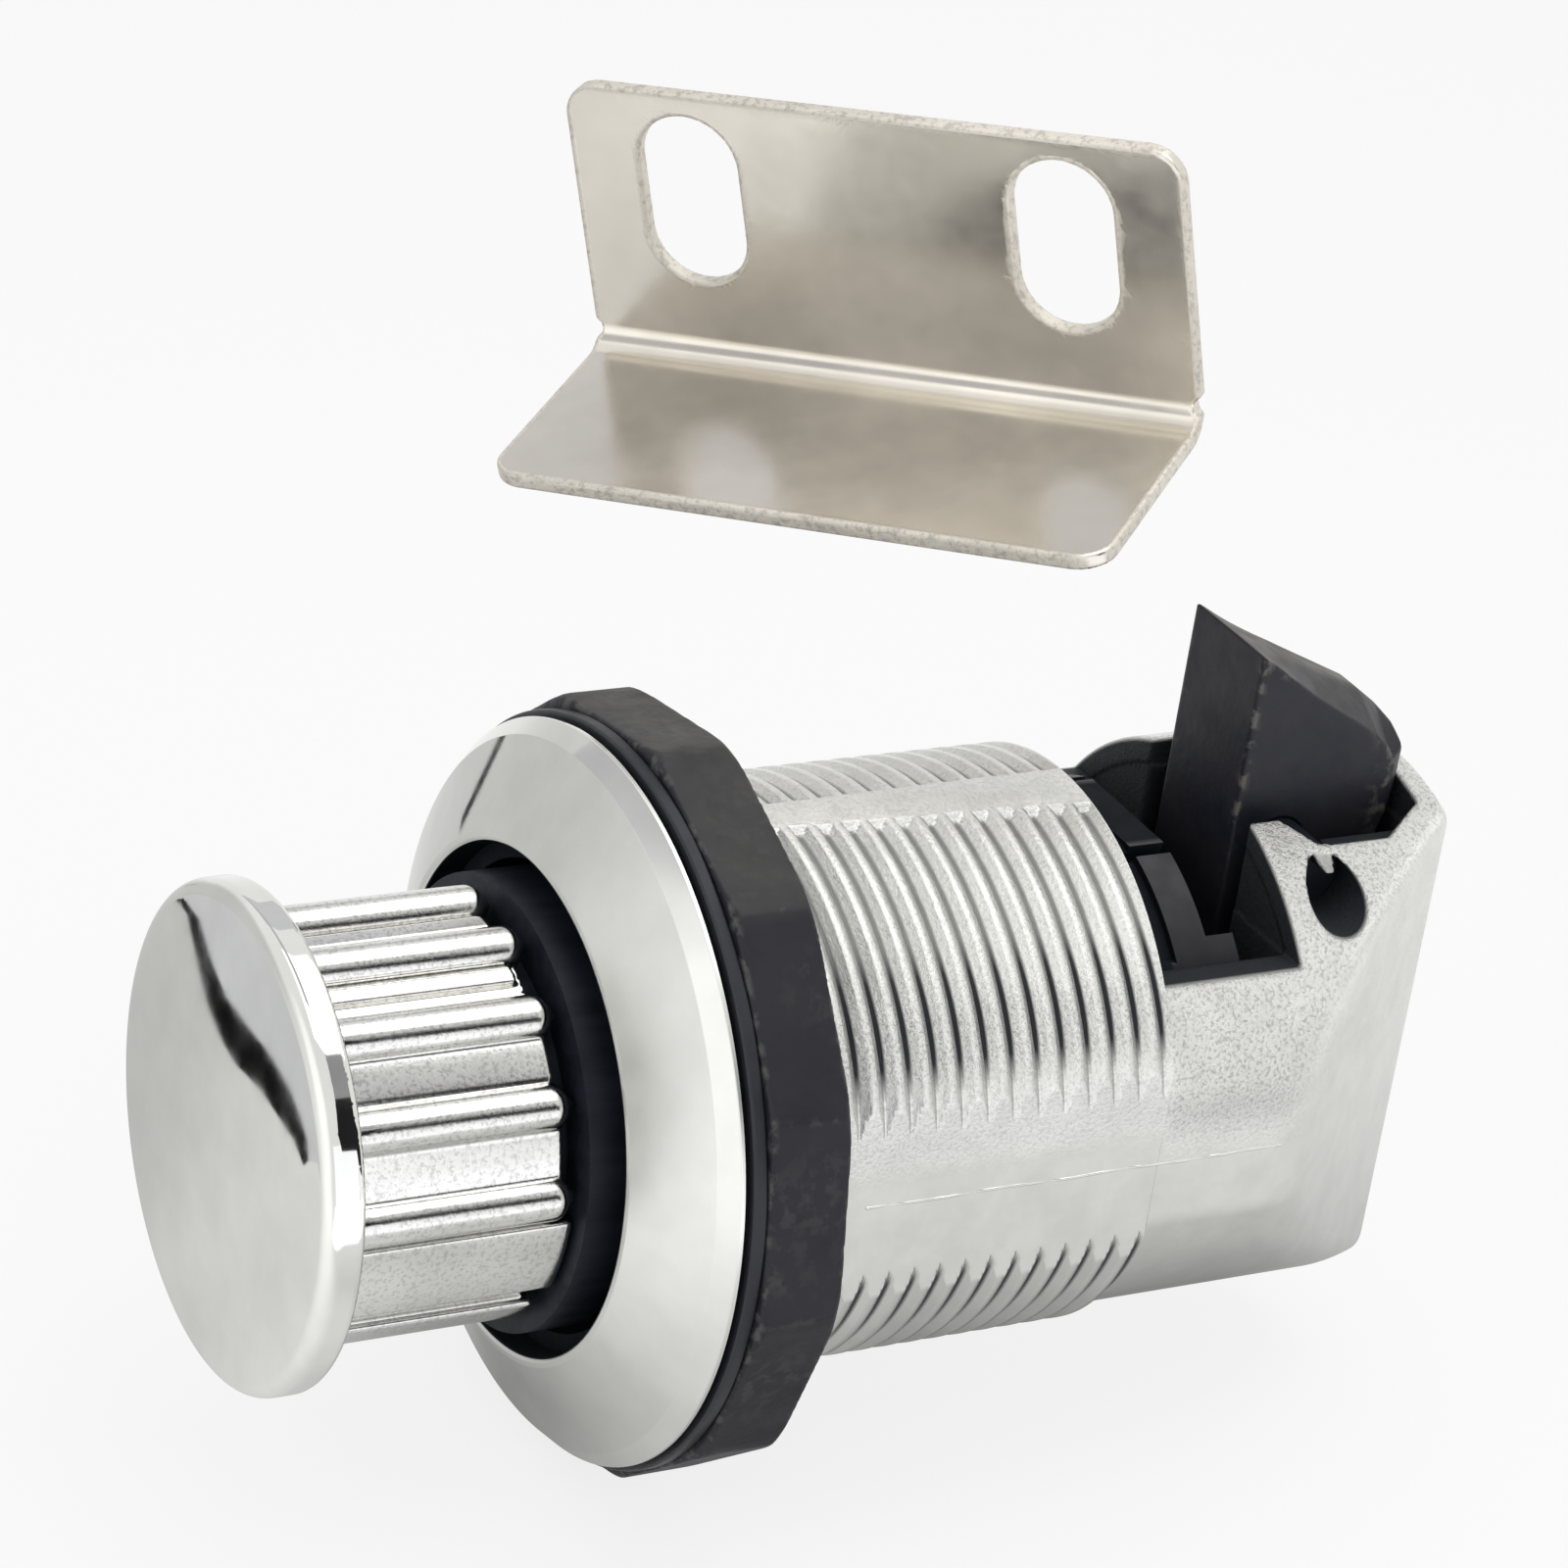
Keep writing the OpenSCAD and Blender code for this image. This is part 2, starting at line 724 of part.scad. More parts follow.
module tongue() {
    leg_r = torsion_wire_r + torsion_gap;
    color("#303034")
    difference() {
        tongue_shape();
        translate([pin_x, 0, pin_z]) rod_y(pin_r + pin_fit, -far, far);
        // Pocket of the spring, open behind and below, with a blind slot for its upper leg
        translate([pin_x, 0, pin_z]) rod_y(torsion_pocket_r, -torsion_pocket_half, torsion_pocket_half);
        block([pin_x, -torsion_pocket_half, 0], [far, torsion_pocket_half, pin_z]);
        block(
            [torsion_leg_x - leg_r, torsion_half - leg_r, pin_z],
            [torsion_leg_x + leg_r, torsion_half + leg_r, pin_z + torsion_leg_up + torsion_gap]
        );
    }
}

module pivot_pin() {
    color("#303034")
    translate([pin_x, 0, pin_z]) rod_y(pin_r, -pin_half, pin_half);
}

// Torsion spring round the cross pin, with a leg down into the slot's floor and one up into the tongue
torsion_rings = 8 * torsion_turns;
function torsion_dir(i) = [cos(360 * i / 8), 0, sin(360 * i / 8)];
function torsion_y(i) = -torsion_half + i / 8 * torsion_pitch;
torsion_points = concat(
    [[torsion_leg_x, -torsion_half, slot_floor - torsion_hole_depth + torsion_gap]],
    [
        for (i = [0 : torsion_rings])
            [pin_x, torsion_y(i), pin_z] + torsion_r * torsion_dir(i)
    ],
    [[torsion_leg_x, torsion_half, pin_z + torsion_leg_up]]
);
torsion_normals = [
    for (i = [0 : len(torsion_points) - 1])
        torsion_dir(min(max(i - 1, 0), torsion_rings))
];
echo(str("tongue spring, least gap to itself: ", least_gap(torsion_points, 6, torsion_wire_r)));

module tongue_spring() {
    color("silver") wire(torsion_points, torsion_normals, torsion_wire_r);
}

// Strike plate

module strike_section() {
    translate([0, bend_r]) square([strike_t, strike_h - bend_r]);
    translate([-strike_depth, -strike_t]) square([strike_depth - bend_r, strike_t]);
    intersection() {
        difference() {
            translate([-bend_r, bend_r]) circle(r = bend_r + strike_t);
            translate([-bend_r, bend_r]) circle(r = bend_r);
        }
        translate([-bend_r, -strike_t]) square([bend_r + strike_t, bend_r + strike_t]);
    }
}

// What a rounded corner takes off a plate in the XY plane, at the end of +X and +Y
module corner_cut(r, depth) {
    difference() {
        translate([-r, -r, -depth]) cube([r + over, r + over, 2 * depth]);
        translate([-r, -r, -2 * depth]) cylinder(r = r, h = 4 * depth);
    }
}

module strike_slot(x) {
    reach = (slot_len - slot_w) / 2;
    for (end = [-reach, reach])
        translate([x, 0, slot_mid + end]) rod_y(slot_w / 2, -over, strike_t + over);
    block([x - slot_w / 2, -over, slot_mid - reach], [x + slot_w / 2, strike_t + over, slot_mid + reach]);
}

module strike_plate() {
    notch_r = 0.45;
    color("#b8b2a6")
    translate(strike_at) rotate(strike_turn)
    difference() {
        rotate([90, 0, 90]) linear_extrude(strike_len, center = true) strike_section();
        for (side = [0, 1])
            mirror([side, 0, 0]) {
                translate([strike_len / 2, 0, strike_h]) rotate([90, 0, 0]) corner_cut(strike_corner, 2 * strike_t);
                translate([strike_len / 2, -strike_depth, 0]) rotate([180, 0, 0]) corner_cut(strike_corner, 2 * strike_t);
                translate([strike_len / 2 + 0.1, -bend_r - over, bend_r]) rod_y(notch_r, 0, 2 * bend_r + strike_t);
                strike_slot(slot_gap / 2);
            }
    }
}

knob();
knob_screw();
screw_washer();
plunger();
locking_bar();
heart_cam();
cam_follower();
follower_spring();
return_spring();
spring_seat();
guide_sleeve();
sleeve_pin();
bezel();
barrel_housing();
washer();
lock_nut();
tongue();
pivot_pin();
tongue_spring();
strike_plate();
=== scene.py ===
import math

import bmesh
import bpy
import numpy as np
from mathutils import Euler, Matrix, Vector


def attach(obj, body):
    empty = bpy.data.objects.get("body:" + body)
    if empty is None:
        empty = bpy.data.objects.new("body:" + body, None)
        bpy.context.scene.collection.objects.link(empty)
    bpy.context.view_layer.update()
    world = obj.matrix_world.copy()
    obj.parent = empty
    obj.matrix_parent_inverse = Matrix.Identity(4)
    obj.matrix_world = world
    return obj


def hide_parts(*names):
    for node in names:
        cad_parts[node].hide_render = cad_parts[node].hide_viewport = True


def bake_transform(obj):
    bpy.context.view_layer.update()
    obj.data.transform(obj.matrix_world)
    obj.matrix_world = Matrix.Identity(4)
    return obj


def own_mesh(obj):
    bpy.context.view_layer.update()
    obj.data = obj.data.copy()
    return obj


# The looks of the push button cabinet lock. Shapes are written in millimetres in the
# frame of the CAD: +X from the knob to the tail, +Z the side of the tongue.
MM = 0.001
COARSE = 1.0

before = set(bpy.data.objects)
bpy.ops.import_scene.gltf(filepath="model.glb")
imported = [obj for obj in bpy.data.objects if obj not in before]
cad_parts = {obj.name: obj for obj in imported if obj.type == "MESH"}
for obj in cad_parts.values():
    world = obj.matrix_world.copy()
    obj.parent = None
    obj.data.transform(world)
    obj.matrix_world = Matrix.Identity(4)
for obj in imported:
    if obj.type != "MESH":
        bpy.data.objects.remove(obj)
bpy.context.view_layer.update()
SCENE = bpy.context.scene

# Sizes shared with the CAD: barrel
THREAD_R, GROOVE_R, ROOT_R, TAIL_R, FLAT = 14.0, 13.58, 13.2, 13.5, 13.1
PITCH, THREAD_END, THREAD_PHASE = 1.35, 24.4, 0.525
# Height of the thread, 1 at a crest and 0 at the root, against the pitches from that crest, and
# the rows of points along one pitch that follow it
FROM_CREST, CREST_HEIGHT = (0, 0.13, 0.16, 0.47, 0.5), (1, 1, 0.95, 0.03, 0)
THREAD_ROWS = (-0.5, -0.455, -0.36, -0.265, -0.17, -0.14, 0.0, 0.14, 0.17, 0.265, 0.36, 0.455)
BORE_R, SPIGOT = 12.15, 1.6
WINDOW_END, WINDOW_FLOOR = 32.3, 8.1
SLOT_FLOOR, SLOT_BACK, SLOT_HALF, SLOT_WIDE = 2.8, 41.95, 4.4, 6.1
BODY_END, END_HALF, SLANT = 43.4, 5.5, math.radians(34.8)
PIN_X, PIN_Z, PIN_HOLE_R = 35.1, 10.4, 1.4
DOWEL_X, DOWEL_R = 3.0, 1.05
# Knob and bezel
CAP_R, CAP_FACE, CAP_DOME, DOME_R, CAP_BACK = 11.8, -17.4, 0.4, 11.4, -15.5
SKIRT_R, SKIRT_END, KNOB_HOLLOW_R, KNOB_BOSS_R, KNOB_BOSS_END = 9.45, -5.3, 8.5, 3.5, -12.6
SKIRT_START, RIB_R, RIBS_AT_R, LANDS_AT_R = -17, 1.1, 9.55, 9.6
BEZEL_R, BEZEL_HOLE_R, BEZEL_SPIGOT_R, BEZEL_FACE = 17.5, 12.0, 13.25, -3.2
# Nut, washer and tongue
NUT_R, NUT_CORNER_R, NUT_CHAMFER_R, NUT_BORE_R = 18.5, 18.47, 18.15, 14.05
NUT_MIDDLE, NUT_HALF, NUT_SIDES, NUT_TURN = 3.0, 2.0, 12, math.radians(66)
WASHER_R, WASHER_HOLE_R, WASHER_FRONT, WASHER_BACK = 17.78, 14.3, 0.3, 1.0
TONGUE_FRONT, TONGUE_REAR, TONGUE_LOW, TONGUE_HIGH, TONGUE_HALF = 32.4, 42, 4.4, 20.8, 3.175
TONGUE_HOLE_R, POCKET_R, POCKET_HALF = 1.55, 2.35, 1.5
# Strike plate, in its own frame: X along its length, Z up the slotted flange
STRIKE_HALF, STRIKE_HIGH, STRIKE_DEEP, STRIKE_THICK = 16.0, 14.4, 12.6, 0.8
STRIKE_BEND, STRIKE_CORNER = 1.15, 1.8
STRIKE_SLOT_X, STRIKE_SLOT_Z, STRIKE_SLOT_RUN, STRIKE_SLOT_R = 9.7, 8.7, 1.9, 2.6
STRIKE_NOTCH_R, STRIKE_NOTCH_Z = 0.45, 0.8
STRIKE_AT, STRIKE_TURN = (22.06, 16.79, 27.09), (13, -9.2, -53)
# Springs
SPRING_R, SPRING_WIRE_R, SPRING_FRONT, SPRING_BACK, SPRING_TURNS = 5.85, 0.45, -10.15, 23.45, 10
LEGS_X, HALF_COIL, COIL_R, LEG_WIRE_R = 37.0, 1.05, 1.9, 0.3


# Fields: below zero inside the piece, in millimetres

def rounded_max(a, b, r):
    """The larger of two fields, with the edge between them rounded over about r."""
    h = np.maximum(r - np.abs(a - b), 0) / r
    return np.maximum(a, b) + h * h * r / 4


def rounded_min(a, b, r):
    """The smaller of two fields, rounded in the same way."""
    return -rounded_max(-a, -b, r)


def smooth_step(low, high, x):
    t = np.clip((x - low) / (high - low), 0, 1)
    return t * t * (3 - 2 * t)


def through(x, knots, values):
    """Straight runs through a few given values."""
    return np.interp(x, knots, values)


def box_field(x, y, z, low, high, r=0.0):
    middle = [(a + b) / 2 for a, b in zip(low, high)]
    half = [(b - a) / 2 - r for a, b in zip(low, high)]
    d = [np.abs(v - m) - h for v, m, h in zip((x, y, z), middle, half)]
    outside = np.sqrt(sum(np.maximum(v, 0) ** 2 for v in d))
    return outside + np.minimum(np.maximum(np.maximum(d[0], d[1]), d[2]), 0) - r


def outline_field(u, v, points):
    """Signed distance to a closed outline in a plane."""
    best = np.full(np.shape(u), 1e9)
    sign = np.ones(np.shape(u))
    for (ax, ay), (bx, by) in zip(points, points[1:] + points[:1]):
        ex, ey = bx - ax, by - ay
        wx, wy = u - ax, v - ay
        t = np.clip((wx * ex + wy * ey) / (ex * ex + ey * ey), 0, 1)
        best = np.minimum(best, (wx - ex * t) ** 2 + (wy - ey * t) ** 2)
        above, below, left = v >= ay, v < by, ex * wy > ey * wx
        crossed = (above & below & left) | (~above & ~below & ~left)
        sign = np.where(crossed, -sign, sign)
    return sign * np.sqrt(best)


def zero_surface(field, low, step):
    """Points and quads of the surface where a sampled field is zero."""
    cells = tuple(n - 1 for n in field.shape)
    faces, owners, places = [], [], []
    for axis in range(3):
        u, v = [a for a in range(3) if a != axis]
        first = [slice(None)] * 3
        second = [slice(None)] * 3
        first[axis], second[axis] = slice(None, -1), slice(1, None)
        a, b = field[tuple(first)], field[tuple(second)]
        found = np.argwhere((a < 0) != (b < 0))
        inner = (found[:, u] > 0) & (found[:, u] < cells[u]) & (found[:, v] > 0) & (found[:, v] < cells[v])
        found = found[inner]
        va, vb = a[tuple(found.T)].astype(float), b[tuple(found.T)].astype(float)
        place = found.astype(float)
        place[:, axis] += va / (va - vb)
        corners = []
        for du, dv in ((0, 0), (1, 0), (1, 1), (0, 1)):
            cell = found.copy()
            cell[:, u] -= du
            cell[:, v] -= dv
            corners.append(np.ravel_multi_index(tuple(cell.T), cells))
        quad = np.stack(corners, 1)
        owners.append(quad.ravel())
        places.append(np.repeat(place, 4, 0))
        turned = (va < 0) == (axis == 1)
        faces.append(np.where(turned[:, None], quad[:, ::-1], quad))
    owner, place = np.concatenate(owners), np.concatenate(places)
    used, spot = np.unique(owner, return_inverse=True)
    count = np.bincount(spot)
    points = np.stack([np.bincount(spot, place[:, i]) / count for i in range(3)], 1)
    quads = np.searchsorted(used, np.concatenate(faces))
    return points * np.array(step) + np.array(low), quads


def slope_of(field, points, reach=0.012):
    """How a field grows along X, Y and Z at each point."""
    slope = np.zeros_like(points)
    for i in range(3):
        side = np.zeros(3)
        side[i] = reach
        ahead, behind = points + side, points - side
        slope[:, i] = (field(*ahead.T) - field(*behind.T)) / (2 * reach)
    return slope


def settle(field, points, rounds=3):
    """Moves points onto the field's zero surface and gives their normals."""
    for _ in range(rounds):
        slope = slope_of(field, points)
        share = field(*points.T) / np.maximum((slope ** 2).sum(1), 0.3)
        move = slope * np.clip(share, -0.15, 0.15)[:, None]
        points = points - move
    slope = slope_of(field, points)
    return points, slope / np.maximum(np.linalg.norm(slope, axis=1), 1e-9)[:, None]


def finish_piece(obj, body, material, nodes=()):
    obj.data.materials.clear()
    obj.data.materials.append(material)
    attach(obj, body)
    if nodes:
        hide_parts(*nodes)
    return obj


def mesh_object(name, points, faces, normals=None):
    mesh = bpy.data.meshes.new(name)
    mesh.from_pydata([tuple(p) for p in np.asarray(points) * MM], [], [tuple(f) for f in faces])
    mesh.polygons.foreach_set("use_smooth", [True] * len(mesh.polygons))
    mesh.update()
    if normals is not None:
        mesh.normals_split_custom_set_from_vertices([tuple(n) for n in normals])
    obj = bpy.data.objects.new(name, mesh)
    SCENE.collection.objects.link(obj)
    return obj


def carve(name, field, low, high, step, keep, place=None):
    """A piece from its field: sampled slab by slab, thinned to a share of its faces, then
    settled again."""
    margin, slab = 2.3, 24
    step = [s * COARSE for s in (step if hasattr(step, "__len__") else (step,) * 3)]
    low = [a - margin * s for a, s in zip(low, step)]
    axes = [np.arange(a, b + margin * s, s) for a, b, s in zip(low, high, step)]
    x = axes[0][:, None, None]
    y = axes[1][None, :, None]
    z = axes[2][None, None, :]
    shape = tuple(len(a) for a in axes)
    sampled = np.empty(shape, np.float32)
    for start in range(0, shape[0], slab):
        part = slice(start, start + slab)
        xs = np.broadcast_to(x[part], (len(x[part]),) + shape[1:])
        ys, zs = np.broadcast_to(y, xs.shape), np.broadcast_to(z, xs.shape)
        sampled[part] = field(xs, ys, zs)
    points, quads = zero_surface(sampled, low, step)
    points, _ = settle(field, points, 1)
    draft = mesh_object(name + "_draft", points, quads)
    thin = draft.modifiers.new("thin", "DECIMATE")
    thin.ratio = keep
    ready = draft.evaluated_get(bpy.context.evaluated_depsgraph_get())
    mesh = bpy.data.meshes.new_from_object(ready)
    points = np.array([v.co for v in mesh.vertices]) / MM
    faces = [tuple(p.vertices) for p in mesh.polygons]
    bpy.data.objects.remove(draft)
    points, normals = settle(field, points)
    if place is not None:
        turn = np.array(place.to_3x3())
        points = points @ turn.T + np.array(place.translation)
        normals = normals @ turn.T
    return mesh_object(name, points, faces, normals)


def rounded_profile(corners):
    """Samples (radius, x) with their outward normals round a closed counterclockwise
    profile of (radius, x, fillet) corners."""
    samples = []
    for i, (r, x, fillet) in enumerate(corners):
        p = np.array([r, x], float)
        into = p - np.array(corners[i - 1][:2], float)
        away = np.array(corners[(i + 1) % len(corners)][:2], float) - p
        into /= np.linalg.norm(into)
        away /= np.linalg.norm(away)
        first, last = np.array([into[1], -into[0]]), np.array([away[1], -away[0]])
        bend = math.atan2(into[0] * away[1] - into[1] * away[0], into @ away)
        if fillet <= 0:
            samples += [(p, first), (p, last)]
            continue
        side = 1 if bend > 0 else -1
        start = p - into * fillet * math.tan(abs(bend) / 2)
        centre = start - side * first * fillet
        angle = math.atan2(first[1], first[0])
        steps = max(2, int(abs(bend) / math.radians(10)))
        for k in range(steps + 1):
            a = angle + bend * k / steps
            n = np.array([math.cos(a), math.sin(a)])
            samples.append((centre + side * n * fillet, n))
    return samples


def turned(name, corners, segments=192):
    """A closed solid of revolution about X from (radius, x, fillet) corners."""
    samples = rounded_profile(corners)
    angles = np.linspace(0, 2 * math.pi, segments, endpoint=False)
    points, normals, faces = [], [], []
    for (r, x), (nr, nx) in samples:
        for a in angles:
            points.append((x, r * math.cos(a), r * math.sin(a)))
            normals.append((nx, nr * math.cos(a), nr * math.sin(a)))
    count = len(samples)
    for i in range(count):
        j = (i + 1) % count
        if np.allclose(samples[i][0], samples[j][0], atol=1e-7):
            continue
        for k in range(segments):
            m = (k + 1) % segments
            faces.append((i * segments + k, i * segments + m, j * segments + m, j * segments + k))
    return mesh_object(name, points, faces, normals)


def tube(name, path, radius, sides=12):
    """A closed round wire along a path, its rings turned with the least twist."""
    path = np.array(path, float)
    ahead = np.gradient(path, axis=0)
    ahead /= np.linalg.norm(ahead, axis=1)[:, None]
    side = np.cross(ahead[0], (0.3, 0.5, 0.8))
    points, normals = [], []
    for p, t in zip(path, ahead):
        side = side - t * (side @ t)
        side /= np.linalg.norm(side)
        other = np.cross(t, side)
        for k in range(sides):
            a = 2 * math.pi * k / sides
            n = math.cos(a) * side + math.sin(a) * other
            points.append(p + radius * n)
            normals.append(n)
    faces = []
    for i in range(len(path) - 1):
        for k in range(sides):
            m = (k + 1) % sides
            faces.append((i * sides + k, i * sides + m, (i + 1) * sides + m, (i + 1) * sides + k))
    for ring, t, order in ((0, -ahead[0], -1), (len(path) - 1, ahead[-1], 1)):
        first = len(points)
        for k in range(sides):
            points.append(points[ring * sides + k])
            normals.append(t)
        faces.append(tuple(first + k for k in range(sides))[::order])
    return mesh_object(name, points, faces, normals)


# Materials

# Near-black of the painted shade in hollows, bores and recesses
SHADE_NAVY = (0.006, 0.008, 0.013)
PIT = (0.2, 0.19, 0.18)


def shader_math(nodes, links, kind, *values):
    """A Math node, with numbers or sockets for its inputs."""
    node = nodes.new("ShaderNodeMath")
    node.operation = kind
    for socket, value in zip(node.inputs, values):
        if isinstance(value, (int, float)):
            socket.default_value = value
        else:
            links.new(value, socket)
    return node.outputs["Value"]


def material(name, color, rough, metallic=0.0, second=None, spots=600.0, rough_spread=0.05, grain=2500.0,
             relief=0.01, stretch=(1, 1, 1), blast=None, specular=0.5, inside=False, lit=None, top_sheen=None,
             worn_and_glint=None):
    """A procedural surface: two colours mixed by cloudy noise, uneven roughness and a fine
    relief in mm. Blast is the grain of a blasted casting, inside asks for painted shade that
    blackens a piece's hollow, lit the radius and place beyond which a black piece shows its outer
    skin and within which it is painted with shade, and the colour given for faces turned upwards
    is a painted sheen of the light from above. The colour given for edges is partly rubbed wear
    and partly a painted glint."""
    made = bpy.data.materials.new(name)
    made.use_nodes = True
    nodes, links = made.node_tree.nodes, made.node_tree.links
    shader = nodes["Principled BSDF"]
    shader.inputs["Specular IOR Level"].default_value = specular
    place = nodes.new("ShaderNodeTexCoord")
    scaled = nodes.new("ShaderNodeMapping")
    scaled.inputs["Scale"].default_value = stretch
    links.new(place.outputs["Object"], scaled.inputs["Vector"])

    def join(kind, *values):
        return shader_math(nodes, links, kind, *values)

    def noise(scale, detail=4.0, rough_detail=0.55):
        made_noise = nodes.new("ShaderNodeTexNoise")
        made_noise.inputs["Scale"].default_value = scale
        made_noise.inputs["Detail"].default_value = detail
        made_noise.inputs["Roughness"].default_value = rough_detail
        links.new(scaled.outputs["Vector"], made_noise.inputs["Vector"])
        return made_noise.outputs["Fac"]

    def spread(value, low, high, out_low, out_high):
        node = nodes.new("ShaderNodeMapRange")
        node.inputs["From Min"].default_value = low
        node.inputs["From Max"].default_value = high
        node.inputs["To Min"].default_value = out_low
        node.inputs["To Max"].default_value = out_high
        links.new(value, node.inputs["Value"])
        return node.outputs["Result"]

    def painted(layer):
        """What paint() wrote at the piece's points."""
        node = nodes.new("ShaderNodeAttribute")
        node.attribute_name = layer
        return node.outputs["Fac"]

    def over(under, top, share):
        """One colour laid over another. A colour is a socket or three numbers."""
        node = nodes.new("ShaderNodeMix")
        node.data_type = "RGBA"
        for socket, value in (("A", under), ("B", top)):
            if isinstance(value, tuple):
                node.inputs[socket].default_value = (*value, 1)
            else:
                links.new(value, node.inputs[socket])
        links.new(share, node.inputs["Factor"])
        return node.outputs["Result"]

    def axes(socket):
        node = nodes.new("ShaderNodeSeparateXYZ")
        links.new(place.outputs[socket], node.inputs["Vector"])
        return node.outputs

    skin = over(color, second or tuple(c * 0.92 for c in color), spread(noise(spots), 0.35, 0.65, 0.0, 1.0))
    roughness = spread(noise(spots * 2.1, 3.0), 0.3, 0.7, rough - rough_spread, rough + rough_spread)
    height = spread(noise(grain, 5.0, 0.6), 0.3, 0.7, 0.0, relief * MM)
    # A paler colour painted on faces turned upwards: a painted sheen of the light from above
    if top_sheen:
        upward = spread(axes("Normal")["Z"], 0.65, 1.0, 0.0, 1.0)
        skin = over(skin, top_sheen, join("MULTIPLY", upward, spread(noise(spots * 1.4), 0.3, 0.7, 0.45, 1.0)))
    # Edges painted paler: partly rubbed wear, partly a painted glint
    if worn_and_glint:
        patches = spread(noise(spots * 5.0, 6.0), 0.5, 0.6, 0.0, 1.0)
        skin = over(skin, worn_and_glint, join("MULTIPLY", painted("worn_and_glint"), patches))

    # Painted shade: hollows, or a black piece inside lit's radius and before its place, are laid over with
    # near-black
    shade = None
    if inside:
        shade = spread(painted("inside"), 0.06, 0.26, 0.0, 1.0)
    if lit:
        at = axes("Object")
        squares = [join("MULTIPLY", at[axis], at[axis]) for axis in ("Y", "Z")]
        radius = join("SQRT", join("ADD", *squares))
        shade = join("MAXIMUM", spread(radius, lit[0] * MM, (lit[0] + 0.1) * MM, 1.0, 0.0),
                     spread(at["X"], lit[1] * MM, (lit[1] + 0.1) * MM, 1.0, 0.0))
    if shade:
        skin = over(skin, SHADE_NAVY, shade)
        roughness = join("ADD", roughness, join("MULTIPLY", shade, 0.35))
    if shade and metallic:
        links.new(spread(shade, 0.0, 1.0, metallic, 0.0), shader.inputs["Metallic"])
    else:
        shader.inputs["Metallic"].default_value = metallic

    if blast:
        where, pits = painted("blast"), noise(blast["grain"], 6.0, 0.7)
        coarse = spread(pits, 0.3, 0.7, 0.0, blast["relief"] * MM)
        height = join("ADD", height, join("MULTIPLY", coarse, where))
        roughness = join("ADD", roughness, join("MULTIPLY", where, blast["rough"]))
    if blast and blast.get("pits"):
        depth = join("MULTIPLY", spread(pits, 0.4, 0.5, blast["pits"], 0.0), where)
        if shade:
            depth = join("MULTIPLY", depth, spread(shade, 0.0, 1.0, 1.0, 0.0))
        skin = over(skin, PIT, depth)
    bump = nodes.new("ShaderNodeBump")
    bump.inputs["Strength"].default_value = 1.0
    bump.inputs["Distance"].default_value = 1.0
    links.new(height, bump.inputs["Height"])
    links.new(bump.outputs["Normal"], shader.inputs["Normal"])
    links.new(skin, shader.inputs["Base Color"])
    links.new(roughness, shader.inputs["Roughness"])
    return made


CHROME = (0.74, 0.74, 0.71)
# The chrome and zinc take painted shade in the hollows that a piece marks as inside
ribbed = material(
    "ribbed_chrome", CHROME, 0.05, 1.0, rough_spread=0.02, spots=250.0, grain=300.0, relief=0.0003,
    inside=True, blast={"grain": 4200.0, "relief": 0.003, "rough": 0.05, "pits": 0.34})
satin = material(
    "satin_chrome", CHROME, 0.06, 1.0, rough_spread=0.02, spots=250.0, grain=300.0, relief=0.001,
    inside=True, blast={"grain": 900.0, "relief": 0.001, "rough": 0.24})
zinc = material(
    "cast_zinc_chrome", (0.76, 0.76, 0.73), 0.15, 1.0, rough_spread=0.03, spots=500.0, grain=900.0,
    relief=0.002, inside=True, blast={"grain": 5200.0, "relief": 0.055, "rough": 0.05, "pits": 0.42})
# Near-black for the pin and plunger deep in the bore: partly their own black, partly painted shade of the
# hollow
shaded_hole_black = material(
    "hollow_black_and_shade", SHADE_NAVY, 0.5, second=(0.014, 0.017, 0.026), spots=700.0, stretch=(0.15, 1, 1),
    grain=1800.0, relief=0.006, specular=0.2)
# The sleeve is painted with shade inside the radius and before the place given, and with a painted sheen on
# faces turned upwards
sleeve_black = material(
    "sleeve_black", (0.012, 0.012, 0.017), 0.5, second=(0.017, 0.017, 0.022), spots=400.0, grain=1800.0,
    relief=0.006, specular=0.2, lit=(11.85, 26.2), top_sheen=(0.1, 0.098, 0.106))
black = material(
    "black_plastic", (0.022, 0.023, 0.03), 0.42, second=(0.03, 0.031, 0.038), spots=400.0, grain=1800.0,
    relief=0.008, specular=0.3)
# Nut and tongue: a painted sheen on faces turned upwards, and paler edges that are partly wear and partly a
# painted glint
nut_black = material(
    "nut_black", (0.013, 0.013, 0.02), 0.5, second=(0.02, 0.02, 0.026), spots=250.0, rough_spread=0.08,
    grain=1500.0, relief=0.012, specular=0.28, top_sheen=(0.052, 0.05, 0.046), worn_and_glint=(0.12, 0.118, 0.11))
tongue_black = material(
    "tongue_black", (0.015, 0.016, 0.025), 0.45, second=(0.024, 0.024, 0.031), spots=300.0, rough_spread=0.08,
    grain=1600.0, relief=0.008, specular=0.3, top_sheen=(0.078, 0.071, 0.06), worn_and_glint=(0.13, 0.125, 0.11))
steel = material("bright_steel", (0.62, 0.62, 0.6), 0.22, 1.0, grain=1500.0, relief=0.004)
nickel = material(
    "brushed_nickel", (0.76, 0.72, 0.645), 0.21, 1.0, second=(0.66, 0.625, 0.555), spots=110.0,
    rough_spread=0.06, grain=700.0, relief=0.0015,
    blast={"grain": 2600.0, "relief": 0.03, "rough": 0.36, "pits": 0.35})


# Barrel housing: the threaded front is a grid along the helix, the tail is carved

